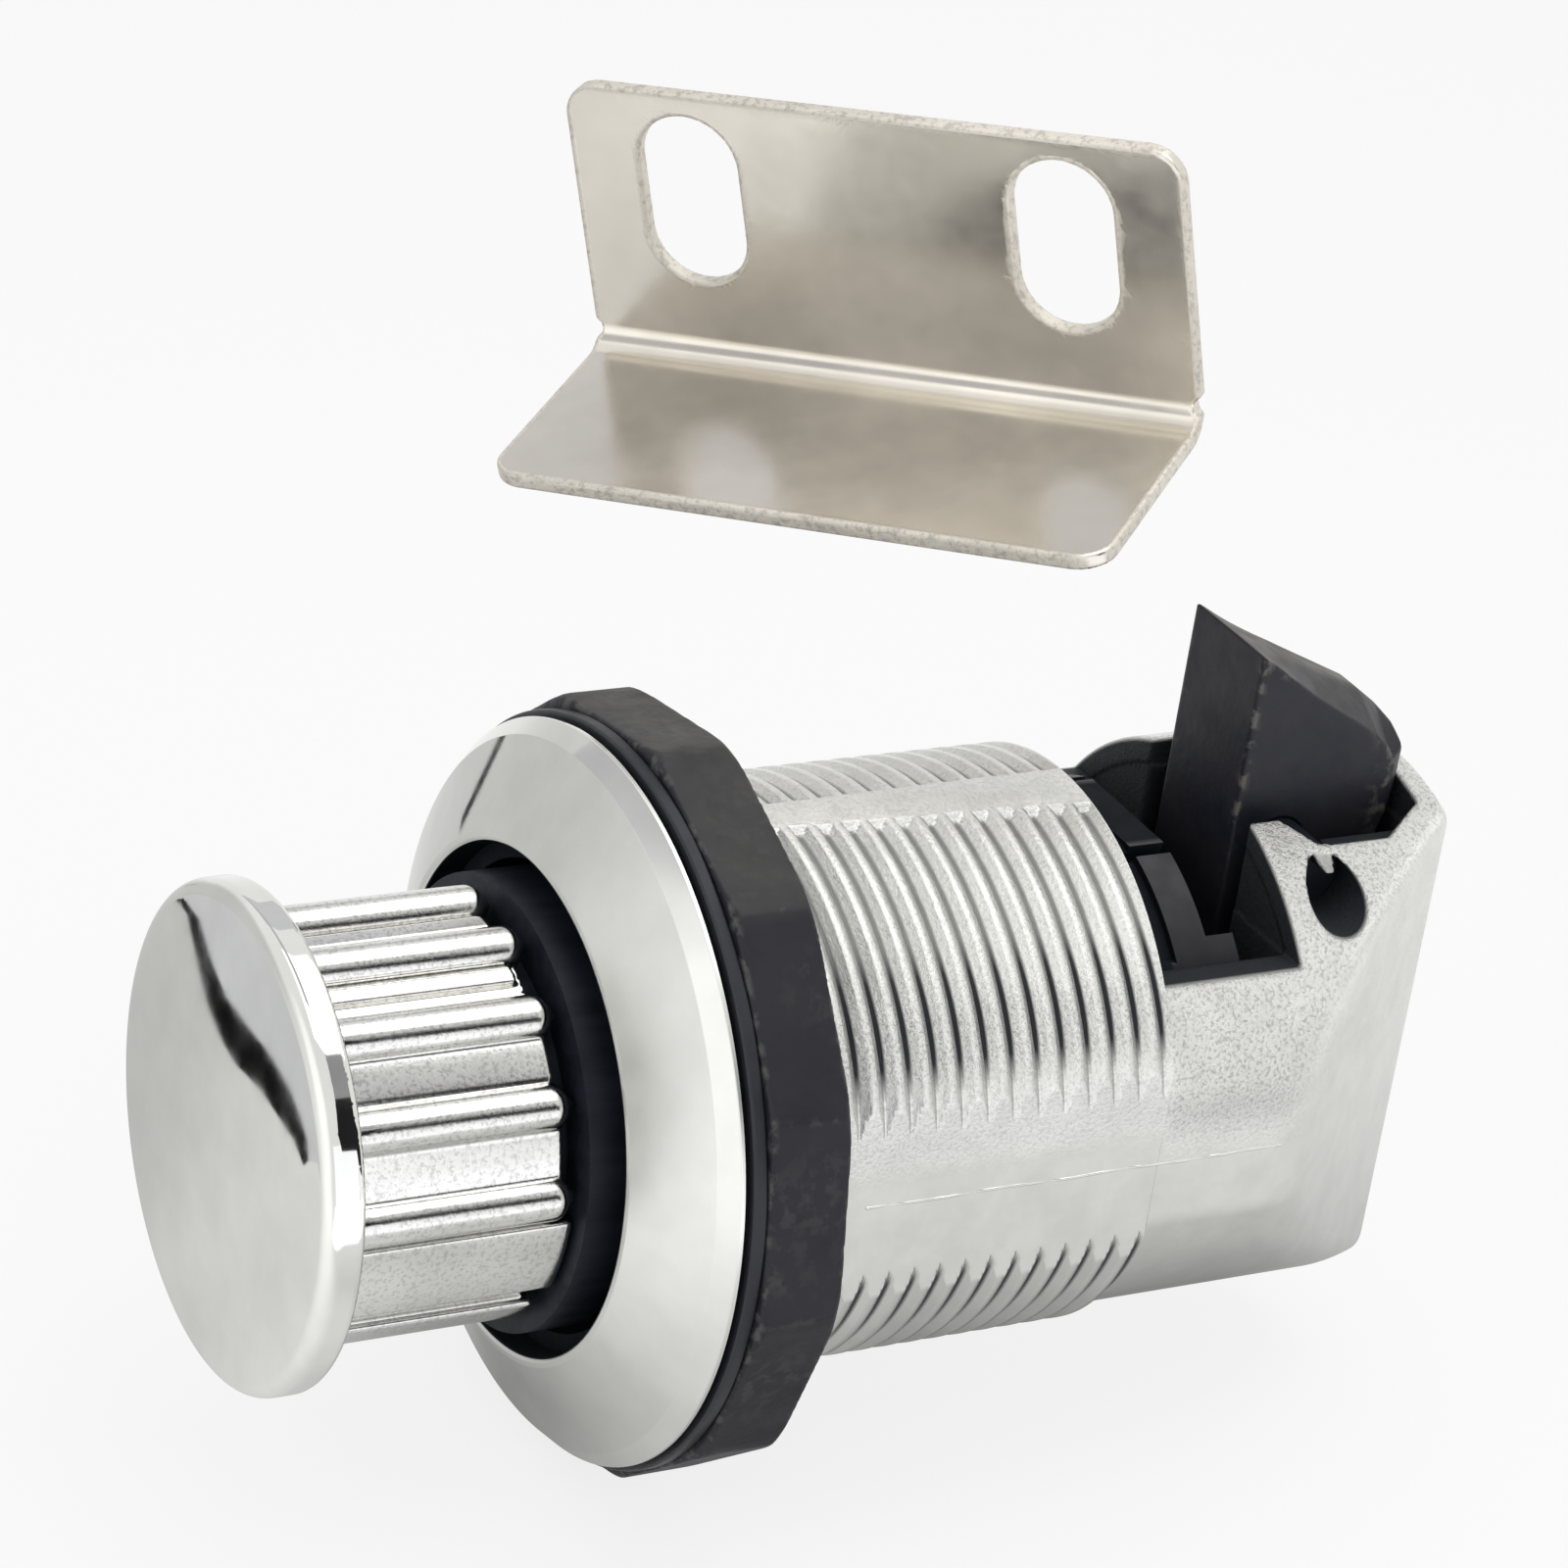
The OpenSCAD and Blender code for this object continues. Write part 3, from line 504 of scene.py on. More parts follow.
def thread_depth(x, y, z):
    """0 at the thread's root and 1 at its crest. The thread stops at a flush land on the
    upper side and on the lower side."""
    phase = (x - THREAD_PHASE) / PITCH - np.arctan2(z, y) / (2 * math.pi)
    from_crest = np.abs(phase - np.floor(phase) - 0.5)
    thread = through(from_crest, FROM_CREST, CREST_HEIGHT)
    # The two edges of the land, which lean a little along the barrel
    across = np.where(z > 0, y, -y)
    near, far = -1.92 - 0.047 * (x - 9.2), 0.2 + 0.016 * (x - 9.5)
    outside = np.maximum(near - across, across - far)
    outside = np.where(np.abs(z) > 10, outside, 9)
    return np.maximum(thread, np.clip(1 - outside / 0.5, 0, 1))


def thread_radius(x, angle):
    c, s = np.cos(angle), np.sin(angle)
    r = GROOVE_R + (THREAD_R - GROOVE_R) * thread_depth(x, THREAD_R * c, THREAD_R * s)
    return np.minimum(r, FLAT / np.maximum(np.abs(c), 0.5))


def thread_grid():
    """The threaded front with its rows laid along the helix, so that its edges stay crisp."""
    wide = np.radians(np.arange(0, 360, 1.25 * COARSE))
    fine = np.radians(np.concatenate([np.arange(a, a + 26, 0.5 * COARSE) for a in (80, 260)]))
    angles = np.unique(np.round(np.concatenate([wide, fine]), 5))
    rows = [(n + k + 0.5) * PITCH + THREAD_PHASE for n in range(-3, 20) for k in THREAD_ROWS]
    x = np.array(rows)[:, None] + PITCH * angles[None, :] / (2 * math.pi)
    x = np.clip(x, 0, THREAD_END)
    r = thread_radius(x, np.broadcast_to(angles, x.shape))
    around = len(angles)
    before, behind = [(-SPIGOT, BORE_R), (-SPIGOT, ROOT_R), (0, ROOT_R)], [(THREAD_END, BORE_R)]
    x, r = [np.concatenate([np.full((1, around), ring[i]) for ring in before] + [rows] +
                           [np.full((1, around), ring[i]) for ring in behind])
            for i, rows in enumerate((x, r))]
    count, first, last = len(x), len(before), len(x) - 1 - len(behind)
    points = np.stack([x, r * np.cos(angles), r * np.sin(angles)], -1).reshape(-1, 3)

    def at(row, column):
        """A turn further round, the rows of the helix are one pitch on."""
        if column == around:
            column = 0
            if first <= row <= last:
                row = min(row + len(THREAD_ROWS), last)
        return row * around + column

    faces = []
    for i in range(count):
        j = (i + 1) % count
        for k in range(around):
            faces.append((at(i, k), at(j, k), at(j, k + 1), at(i, k + 1)))
    mesh = bmesh.new()
    made = [mesh.verts.new(p * MM) for p in points]
    for quad in faces:
        corners = list(dict.fromkeys(quad))
        if len(corners) >= 3:
            mesh.faces.new([made[c] for c in corners])
    bmesh.ops.remove_doubles(mesh, verts=mesh.verts, dist=2e-7)
    bmesh.ops.dissolve_degenerate(mesh, edges=mesh.edges, dist=2e-7)
    bmesh.ops.recalc_face_normals(mesh, faces=mesh.faces)
    data = bpy.data.meshes.new("barrel_thread_cast")
    mesh.to_mesh(data)
    mesh.free()
    obj = bpy.data.objects.new("barrel_thread_cast", data)
    SCENE.collection.objects.link(obj)
    data.polygons.foreach_set("use_smooth", [True] * len(data.polygons))
    return obj


def thread_normals(obj):
    """Normals on the thread from its own slope; the end faces keep theirs."""
    data = obj.data
    co = np.array([v.co for v in data.vertices]) / MM
    x, angle, r = co[:, 0], np.arctan2(co[:, 2], co[:, 1]), np.hypot(co[:, 1], co[:, 2])
    step = 0.012
    slope_x = (thread_radius(x + step, angle) - thread_radius(x - step, angle)) / (2 * step)
    turn = step / r
    slope_a = (thread_radius(x, angle + turn) - thread_radius(x, angle - turn)) / (2 * step)
    c, s = np.cos(angle), np.sin(angle)
    skin = np.stack([-slope_x, c + slope_a * s, s - slope_a * c], 1)
    skin /= np.linalg.norm(skin, axis=1)[:, None]
    on_skin = (np.abs(r - thread_radius(x, angle)) < 0.02) & (x > 0.0)
    normals = []
    for face in data.polygons:
        flat = np.array(face.normal)
        end = abs(flat[0]) > 0.97
        for v in face.vertices:
            normals.append(tuple(skin[v]) if on_skin[v] and not end else tuple(flat))
    data.normals_split_custom_set(normals)


def end_slant(x, y):
    """Distance from the slanted faces at the tail's end."""
    return (x - BODY_END) * math.sin(SLANT) + (np.abs(y) - END_HALF) * math.cos(SLANT)


def tail_hull(x, y, z):
    """The tail's outer skin, before anything is cut into it."""
    skin = np.hypot(y, z) - TAIL_R
    body = rounded_max(skin, np.abs(y) - FLAT, 0.1)
    soft = 1.1 - 0.7 * smooth_step(2, 8, z)
    body = rounded_max(body, end_slant(x, y), soft)
    return rounded_max(body, x - BODY_END, 0.6)


def tail_field(x, y, z):
    body = np.maximum(tail_hull(x, y, z), THREAD_END - x)
    r = np.hypot(y, z)
    bore = np.maximum(r - BORE_R, x - WINDOW_END)
    window = box_field(x, y, z, (THREAD_END - 3, -30, WINDOW_FLOOR), (WINDOW_END, 30, 40))
    slot = box_field(x, y, z, (WINDOW_END - 1, -SLOT_HALF, SLOT_FLOOR), (SLOT_BACK, SLOT_HALF, 40), 0.3)
    # Above the pin the slot is wide between the two cheeks
    half = through(x, (WINDOW_END + 1.6, WINDOW_END + 3.1, SLOT_BACK - 2.6, SLOT_BACK),
                  (SLOT_HALF, SLOT_WIDE, SLOT_WIDE, SLOT_HALF))
    wide = np.maximum(np.maximum((np.abs(y) - half) * 0.75, PIN_Z + 0.9 - z),
                      np.maximum(WINDOW_END - 1 - x, x - SLOT_BACK))
    opening = rounded_min(rounded_min(window, slot, 0.15), wide, 0.2)
    hole = np.hypot((x - PIN_X - 0.14) / 1.1, z - PIN_Z + 0.05) - PIN_HOLE_R
    hole = np.maximum(hole, SLOT_HALF - 1 - np.abs(y))
    dowel = np.maximum(np.hypot(x - DOWEL_X, y) - DOWEL_R, z)
    body = rounded_max(body, -bore, 0.12)
    body = rounded_max(body, -opening, 0.26)
    body = rounded_max(body, -hole, 0.16)
    # A casting burr hangs into the top of each hole
    burr = np.hypot((x - PIN_X - 0.3) / 0.5, (z - PIN_Z - 1.35) / 0.75) * 0.5 - 0.5
    burr = rounded_max(np.maximum(burr, SLOT_HALF + 1.6 - np.abs(y)), tail_hull(x, y, z) + 0.12, 0.15)
    return rounded_min(np.maximum(body, -dowel), burr, 0.15)


def paint(obj, name, rule):
    """A number at each point of a piece, from its place in millimetres."""
    co = np.array([v.co for v in obj.data.vertices]) / MM
    layer = obj.data.attributes.new(name, "FLOAT", "POINT")
    layer.data.foreach_set("value", np.asarray(rule(*co.T), np.float32))


def blasted(x, y, z):
    """Where the casting is matt and grainy: the cheeks and the middle of the thread's near side."""
    high = smooth_step(-1, 4, z)
    panel = smooth_step(-0.9, 0.1, end_slant(x, y))
    cheek = smooth_step(24.3, 25, x)
    thread = smooth_step(0.5, 3, z) * (0.4 + 0.4 * smooth_step(-2.5, -0.5, -np.abs(z - 7.5)))
    return np.clip(cheek * high * (1 - 0.85 * panel) + (1 - cheek) * thread, 0, 1)


def tail_inside(x, y, z):
    """How far a point lies under the tail's outer skin, in mm, where the hollow is painted with shade."""
    return np.clip(-tail_hull(x, y, z), 0, 1)


def thread_inside(x, y, z):
    """Painted shade: darker towards the thread's root on its upper and lower parts, and black in the bore."""
    r = np.hypot(y, z)
    above = 0.03 + 0.34 * smooth_step(4.6, 7.6, z) * (1 - 0.55 * smooth_step(8, 11, z))
    below = 0.25 * smooth_step(3.4, 4.6, -z)
    root = np.clip((GROOVE_R + 0.17 - r) / 0.1, 0, 1) * np.maximum(above, below) * (np.abs(y) < FLAT - 0.03)
    return np.where(r < ROOT_R - 0.3, 1, root)


front = thread_grid()
thread_normals(front)
tail = carve("barrel_tail_cast", tail_field, (THREAD_END, -TAIL_R, -TAIL_R), (BODY_END, TAIL_R, TAIL_R),
             (0.17, 0.19, 0.19), 0.36)
# The hollows and thread roots of the barrel are painted with shade by their inside numbers
for part, inside in ((front, thread_inside), (tail, tail_inside)):
    paint(part, "blast", blasted)
    paint(part, "inside", inside)
    finish_piece(part, "root", zinc, ["barrel_housing"])

# The casting's parting line stands a little proud of the near flat, broken here and there
ridge_x = np.linspace(8.8, 31.3, 91)
ridge_y = -FLAT + 0.04 - 0.04 * np.sin(2.3 * ridge_x) * np.sin(0.71 * ridge_x + 1)
ridge_z = 0.03 * np.sin(0.9 * ridge_x)
parting_line = tube("barrel_parting_line", np.stack([ridge_x, ridge_y, ridge_z], 1), 0.085, 8)
finish_piece(parting_line, "root", zinc, ["barrel_housing"])


# Knob

# Round the skirt, the same on both sides: the directions of the ribs, and the low lands between
# and beside them as (direction, half width, radius, end)
RIBS = [math.radians(a + side) for side in (0, 180) for a in (79, 102.5, 126, 150.5, 175.5)]
LANDS = [(math.radians(a + side), math.radians(w), r, end)
         for side in (0, 180) for a, w, r, end in
         ((91, 3.5, 9.85, -5.4), (112.5, 3, 9.85, -5.6), (138, 6.2, 9.85, -5.2),
          (163, 8, 9.9, -5.1), (196, 13, 9.9, -4.35), (233, 16, 9.9, -4.7))]


def turned_away(angle, target):
    return np.abs((angle - target + math.pi) % (2 * math.pi) - math.pi)


def knob_field(x, y, z):
    r, angle = np.hypot(y, z), np.arctan2(z, y)
    dome = CAP_FACE - CAP_DOME * np.clip(1 - (r / DOME_R) ** 2, -0.2, 1)
    cap = rounded_max(rounded_max(r - CAP_R, x - CAP_BACK, 0.3), dome - x, 0.75)
    skirt = np.maximum(r - SKIRT_R, x - SKIRT_END)
    for target, width, radius, end in LANDS:
        strip = rounded_max(r - radius, (turned_away(angle, target) - width) * LANDS_AT_R, 0.25)
        skirt = rounded_min(skirt, rounded_max(strip, x - end, 0.25), 0.12)
    for target in RIBS:
        reach = np.hypot(y - RIBS_AT_R * math.cos(target), z - RIBS_AT_R * math.sin(target)) - RIB_R
        tip = reach * 0.66 + (x - SKIRT_END - 0.1) * 0.75
        skirt = rounded_min(skirt, rounded_max(reach, np.maximum(tip, x - SKIRT_END - 1), 0.3), 0.12)
    solid = rounded_min(cap, np.maximum(skirt, SKIRT_START - x), 0.25)
    boss = np.maximum(r - KNOB_BOSS_R, x - KNOB_BOSS_END)
    hollow = np.maximum(np.maximum(r - KNOB_HOLLOW_R, CAP_BACK - 0.4 - x), -boss)
    return rounded_max(solid, -hollow, 0.1)


knob = carve("knob_cast", knob_field, (CAP_FACE - CAP_DOME, -CAP_R, -CAP_R), (SKIRT_END + 1, CAP_R, CAP_R),
             0.17, 0.35)
# The knob's hollow is painted with shade
paint(knob, "inside", lambda x, y, z: (np.hypot(y, z) < KNOB_HOLLOW_R + 0.1) & (x > CAP_BACK - 0.5))
paint(knob, "blast", lambda x, y, z: (x > CAP_BACK + 0.3) * smooth_step(9, 9.6, np.hypot(y, z)))
finish_piece(knob, "button", ribbed, ["knob"])


# Bezel

bezel = turned("bezel_turned", [
    (BEZEL_SPIGOT_R, 0.0, 0), (BEZEL_SPIGOT_R, -SPIGOT, 0), (BEZEL_HOLE_R, -SPIGOT, 0),
    (BEZEL_HOLE_R, BEZEL_FACE, 0.22), (12.45, -3.12, 0.2), (16.75, -1.0, 0.12),
    (BEZEL_R, -0.18, 0.12), (BEZEL_R, 0.0, 0)])
# The bezel's bore is painted with shade
paint(bezel, "inside", lambda x, y, z: (np.hypot(y, z) < BEZEL_HOLE_R + 0.05) & (x > BEZEL_FACE + 0.15))
# The half that faces the camera is a little more matt
paint(bezel, "blast", lambda x, y, z: smooth_step(-4, 3, -y))
finish_piece(bezel, "root", satin, ["bezel"])


# Nut and washer

def nut_field(x, y, z):
    r, angle = np.hypot(y, z), np.arctan2(z, y)
    sector = 2 * math.pi / NUT_SIDES
    off = (angle - NUT_TURN + 2 * sector * NUT_SIDES) % sector - sector / 2
    flats = r * np.cos(off) - NUT_R * math.cos(sector / 2)
    flats = rounded_max(flats, r - NUT_CORNER_R, 0.15)
    from_middle = np.abs(x - NUT_MIDDLE)
    faces = from_middle - NUT_HALF
    chamfer = (r - NUT_CHAMFER_R) * 0.7 + faces * 0.7
    body = rounded_max(rounded_max(flats, faces, 0.2), chamfer, 0.12)
    phase = (x - THREAD_PHASE) / PITCH - angle / (2 * math.pi)
    wave = np.abs(phase - np.floor(phase) - 0.5) * 2
    bore = NUT_BORE_R + 0.55 * np.clip((1 - wave) * 1.3 - 0.14, 0, 1) + np.maximum(from_middle - 1.5, 0)
    return rounded_max(body, bore - r, 0.1)


nut = carve("lock_nut_moulded", nut_field, (NUT_MIDDLE - NUT_HALF, -NUT_R, -NUT_R),
            (NUT_MIDDLE + NUT_HALF, NUT_R, NUT_R), (0.15, 0.25, 0.25), 0.3)


def nut_worn_and_glint(x, y, z):
    """The edges between the nut's faces and its flats, and its corners, are painted paler: partly rubbed
    wear, partly a painted glint.
    """
    r = np.hypot(y, z)
    rim = smooth_step(-0.3, -0.05, np.abs(x - NUT_MIDDLE) - NUT_HALF) * smooth_step(17.4, 17.9, r)
    return np.clip(0.6 * rim + 0.35 * smooth_step(18.4, NUT_CORNER_R, r), 0, 1)


paint(nut, "worn_and_glint", nut_worn_and_glint)
finish_piece(nut, "nut_body", nut_black, ["lock_nut"])

washer = turned("washer_ring", [
    (WASHER_HOLE_R, WASHER_BACK, 0.1), (WASHER_HOLE_R, WASHER_FRONT, 0.1),
    (WASHER_R, WASHER_FRONT, 0.15), (WASHER_R, WASHER_BACK, 0.15)])
finish_piece(washer, "washer_body", black, ["washer"])


# Tongue

# The ramp seen from the side, from its tip down to the rear, as (x, z)
RAMP = [(TONGUE_FRONT, TONGUE_HIGH), (35.4, 19.5), (39.8, 17.4), (41.0, 16.5)]
RAMP_X, RAMP_Z = zip(*RAMP)
REAR = [(41.65, 15.7), (41.95, 14.7), (41.9, 13.6), (41.5, 12.0), (40.6, 9.6), (36.2, TONGUE_LOW),
        (TONGUE_FRONT, TONGUE_LOW)]


def tongue_field(x, y, z):
    side = outline_field(x, z, RAMP[:1] + [(32.9, 20.62)] + RAMP[1:] + REAR)
    # The ramp falls from its ridge to both sides, more so towards its rear
    top = through(x, RAMP_X, RAMP_Z)
    edge = through(x, (TONGUE_FRONT, 36.07, 38.54, 39.96, 40.6, 41.1),
                  (TONGUE_HIGH, 18.12, 16.6, 15.7, 15.1, 14.4))
    outward = np.clip((np.abs(y) - 0.6) / (TONGUE_HALF - 0.6), 0, 1.3)
    hip = (z - top + (top - edge) * outward ** 1.25) * 0.72
    corner = (x - TONGUE_REAR + 0.85 * np.clip((np.abs(y) - 2.5) / 0.675, 0, 1.4)) * 0.62
    body = rounded_max(side, np.abs(y) - TONGUE_HALF, 0.25)
    body = rounded_max(rounded_max(body, hip, 0.2), corner, 0.2)
    reach = np.hypot(x - PIN_X, z - PIN_Z)
    pocket = np.maximum(reach - POCKET_R, np.abs(y) - POCKET_HALF)
    behind = np.maximum(np.maximum(PIN_X - x, z - PIN_Z), np.abs(y) - POCKET_HALF)
    leg = box_field(x, y, z, (LEGS_X - 0.5, 0.6, PIN_Z), (LEGS_X + 0.5, POCKET_HALF, 13.8))
    cut = np.minimum(np.minimum(pocket, behind), np.minimum(leg, reach - TONGUE_HOLE_R))
    return rounded_max(body, -cut, 0.1)


tongue = carve("tongue_moulded", tongue_field, (TONGUE_FRONT, -TONGUE_HALF, TONGUE_LOW),
               (TONGUE_REAR, TONGUE_HALF, TONGUE_HIGH), 0.14, 0.4)


def tongue_worn_and_glint(x, y, z):
    """The tongue's upright edges and the rim of its ramp are painted paler: partly rubbed wear, partly a
    painted glint.
    """
    side = smooth_step(-0.4, -0.1, np.abs(y) - TONGUE_HALF)
    rear = through(z, (12, 14.7) + RAMP_Z[::-1], (41.5, 41.95) + RAMP_X[::-1])
    front = smooth_step(-0.4, -0.12, TONGUE_FRONT - x)
    return np.clip(side * (front + smooth_step(-2.2, -0.4, x - rear)) * smooth_step(10, 12, z), 0, 1)


paint(tongue, "worn_and_glint", tongue_worn_and_glint)
finish_piece(tongue, "latch", tongue_black, ["tongue"])


# Strike plate

def from_slot(x, z):
    """Distance from the middle line of the nearer slot."""
    up = np.maximum(np.abs(z - STRIKE_SLOT_Z) - STRIKE_SLOT_RUN, 0)
    return np.hypot(np.abs(x) - STRIKE_SLOT_X, up)


def strike_field(x, y, z):
    bend, half_thick = STRIKE_BEND, STRIKE_THICK / 2
    from_bend = np.hypot(y + bend, z - bend) - bend - half_thick
    sheet = np.where(z >= bend, y - half_thick, np.where(y > -bend, from_bend, -z - half_thick))
    sheet = np.abs(sheet) - half_thick

    def round_end(reach, along):
        dx, dz = np.abs(x) - STRIKE_HALF + STRIKE_CORNER, along - reach + STRIKE_CORNER
        corner = np.hypot(np.maximum(dx, 0), np.maximum(dz, 0)) + np.minimum(np.maximum(dx, dz), 0)
        return corner - STRIKE_CORNER

    edge = np.maximum(round_end(STRIKE_HIGH, z), round_end(STRIKE_DEEP, -y))
    slot = np.maximum(from_slot(x, z) - STRIKE_SLOT_R, -1 - y)
    notch = np.hypot(np.abs(x) - STRIKE_HALF - 0.1, z - STRIKE_NOTCH_Z) - STRIKE_NOTCH_R
    notch = np.maximum(notch, -0.9 - y)
    plate = rounded_max(sheet, edge, 0.22)
    plate = rounded_max(plate, -slot, 0.2)
    return rounded_max(plate, -notch, 0.15)


def sheared(x, y, z):
    """The plate's cut edges and the walls of its slots are matt and bright."""
    own = np.stack([x, y, z, np.ones_like(x)], 1) @ np.array(strike_place.inverted()).T
    x, y, z = own[:, 0], own[:, 1], own[:, 2]
    rim = np.maximum(np.maximum(np.abs(x) - STRIKE_HALF, z - STRIKE_HIGH), -y - STRIKE_DEEP) + 0.25
    slot = np.where(y > -1, STRIKE_SLOT_R + 0.22 - from_slot(x, z), -1)
    return smooth_step(-0.08, 0.1, np.maximum(rim, slot))


strike_turn = Euler([math.radians(a) for a in STRIKE_TURN]).to_matrix()
strike_place = Matrix.Translation(STRIKE_AT) @ strike_turn.to_4x4()
strike = carve("strike_plate_bent", strike_field, (-STRIKE_HALF, -STRIKE_DEEP, -STRIKE_THICK),
               (STRIKE_HALF, STRIKE_THICK, STRIKE_HIGH), 0.16, 0.35, strike_place)
paint(strike, "blast", sheared)
finish_piece(strike, "root", nickel, ["strike_plate"])


# Springs, as smooth round wire

def coil(turns, radius, start, stop, steps):
    """The middle line of a coil about X."""
    count = int(turns * steps)
    return [(start + (stop - start) * i / count, radius * math.cos(2 * math.pi * i / steps),
             radius * math.sin(2 * math.pi * i / steps)) for i in range(count + 1)]


wire = coil(SPRING_TURNS, SPRING_R, SPRING_FRONT, SPRING_BACK, 32)
spring = tube("return_spring_wire", wire, SPRING_WIRE_R)
finish_piece(spring, "root", steel, ["return_spring"])
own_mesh(spring)

# The tongue's spring: a leg down to the barrel, two turns round the pin, a leg up into the tongue
torsion = [(LEGS_X, -HALF_COIL, 1.95)] + [(LEGS_X, -HALF_COIL, z) for z in np.linspace(4, 9.8, 5)]
torsion += [(PIN_X + COIL_R * math.cos(2 * math.pi * i / 32), -HALF_COIL + i / 32 * HALF_COIL,
             PIN_Z + COIL_R * math.sin(2 * math.pi * i / 32)) for i in range(65)]
torsion += [(LEGS_X, HALF_COIL, z) for z in np.linspace(11, 13.6, 4)]
leg_spring = tube("tongue_spring_wire", torsion, LEG_WIRE_R)
leg_spring.data.materials.append(steel)
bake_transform(leg_spring)
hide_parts("tongue_spring")


# CAD nodes that are shown as they are

for node, (finish, slot) in {
    "knob_screw": (steel, "steel"), "screw_washer": (steel, "steel"), "locking_bar": (steel, "steel"),
    "heart_cam": (steel, "steel"), "cam_follower": (steel, "steel"), "follower_spring": (steel, "steel"),
    # The pivot pin and plunger sit in the bore and get the near-black with painted shade
    "spring_seat": (steel, "steel"), "sleeve_pin": (steel, "steel"), "pivot_pin": (shaded_hole_black, "steel"),
    "plunger": (shaded_hole_black, "black_plastic"), "guide_sleeve": (sleeve_black, "black_plastic"),
}.items():
    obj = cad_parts[node]
    obj.data.materials.clear()
    obj.data.materials.append(finish)


# Stage: a pale floor, a white surround and soft lamps

FLOOR_Z, FLOOR_HALF = -18.65 * MM, 3
# Metal sees the floor get darker towards the object's shadow: its middle, its half length, and
# the brightness at a few distances, counted in tenths of a metre
SHADOW_X, SHADOW_HALF = 18 * MM, 18 * MM
SHADOW = [(0.03, 0.26), (0.15, 0.56), (0.28, 0.76), (0.5, 0.91), (0.95, 1.0)]
# The studio as metal sees it: an even level, and what changes round a few directions
EVEN_LEVEL = 1.02
LOBES = [((-0.9, -0.3, 0.3), 0.74, 0.97, 0.42), ((-0.52, 0.85, 0.0), 0.8, 0.97, -0.31)]


def vector_math(nodes, links, kind, value, *fixed):
    """A Vector Math node on a socket, with fixed numbers for its further inputs."""
    node = nodes.new("ShaderNodeVectorMath")
    node.operation = kind
    links.new(value, node.inputs[0])
    for i, numbers in enumerate(fixed):
        node.inputs[i + 1].default_value = numbers
    return node.outputs["Value" if kind == "DOT_PRODUCT" else "Vector"]


def mix(nodes, links, share, first, second):
    """The first shader where the share is 0 and the second where it is 1."""
    node = nodes.new("ShaderNodeMixShader")
    links.new(share, node.inputs["Fac"])
    links.new(first.outputs[0], node.inputs[1])
    links.new(second.outputs[0], node.inputs[2])
    return node


def surround(nodes, links, direction):
    """How bright the studio is in a direction, as metal sees it: paler to the left, where the
    large soft light is, and a little darker behind the object."""
    level = EVEN_LEVEL
    for toward, low, high, change in LOBES:
        lobe = nodes.new("ShaderNodeMapRange")
        lobe.interpolation_type = "SMOOTHSTEP"
        for socket, value in (("From Min", low), ("From Max", high), ("To Min", 0.0), ("To Max", change)):
            lobe.inputs[socket].default_value = value
        links.new(vector_math(nodes, links, "DOT_PRODUCT", direction, toward), lobe.inputs["Value"])
        level = shader_math(nodes, links, "ADD", lobe.outputs["Result"], level)
    return level


def floor_material():
    """White to the camera, lit by the lamps, and seen by metal as the surround over a shadow."""
    made = bpy.data.materials.new("floor_paint")
    made.use_nodes = True
    nodes, links = made.node_tree.nodes, made.node_tree.links
    nodes.clear()

    def join(kind, *values):
        return shader_math(nodes, links, kind, *values)

    spot = nodes.new("ShaderNodeNewGeometry").outputs["Position"]
    from_middle = vector_math(nodes, links, "SUBTRACT", spot, (SHADOW_X, 0, FLOOR_Z))
    axes = nodes.new("ShaderNodeSeparateXYZ")
    links.new(from_middle, axes.inputs["Vector"])
    along, aside = [join("ABSOLUTE", axes.outputs[axis]) for axis in ("X", "Y")]
    beyond = join("MAXIMUM", join("SUBTRACT", along, SHADOW_HALF), 0.0)
    away = join("SQRT", join("ADD", join("POWER", beyond, 2.0), join("POWER", aside, 2.0)))
    fade = nodes.new("ShaderNodeValToRGB")
    stops = fade.color_ramp.elements
    stops[0].position, stops[1].position = SHADOW[0][0], SHADOW[-1][0]
    for position, _ in SHADOW[1:-1]:
        stops.new(position)
    for stop, (_, level) in zip(stops, SHADOW):
        stop.color = (level, level, level, 1)
    links.new(join("MULTIPLY", away, 10.0), fade.inputs["Fac"])
    outward = vector_math(nodes, links, "NORMALIZE", from_middle)
    mirrored = nodes.new("ShaderNodeEmission")
    strength = join("MULTIPLY", fade.outputs["Color"], surround(nodes, links, outward))
    links.new(strength, mirrored.inputs["Strength"])

    diffuse = nodes.new("ShaderNodeBsdfDiffuse")
    diffuse.inputs["Color"].default_value = (0.93, 0.93, 0.93, 1)
    glow = nodes.new("ShaderNodeEmission")
    rays = nodes.new("ShaderNodeLightPath").outputs
    seen = mix(nodes, links, join("MULTIPLY", rays["Is Camera Ray"], 0.82), diffuse, glow)
    whole = mix(nodes, links, rays["Is Glossy Ray"], seen, mirrored)
    links.new(whole.outputs[0], nodes.new("ShaderNodeOutputMaterial").inputs["Surface"])
    return made


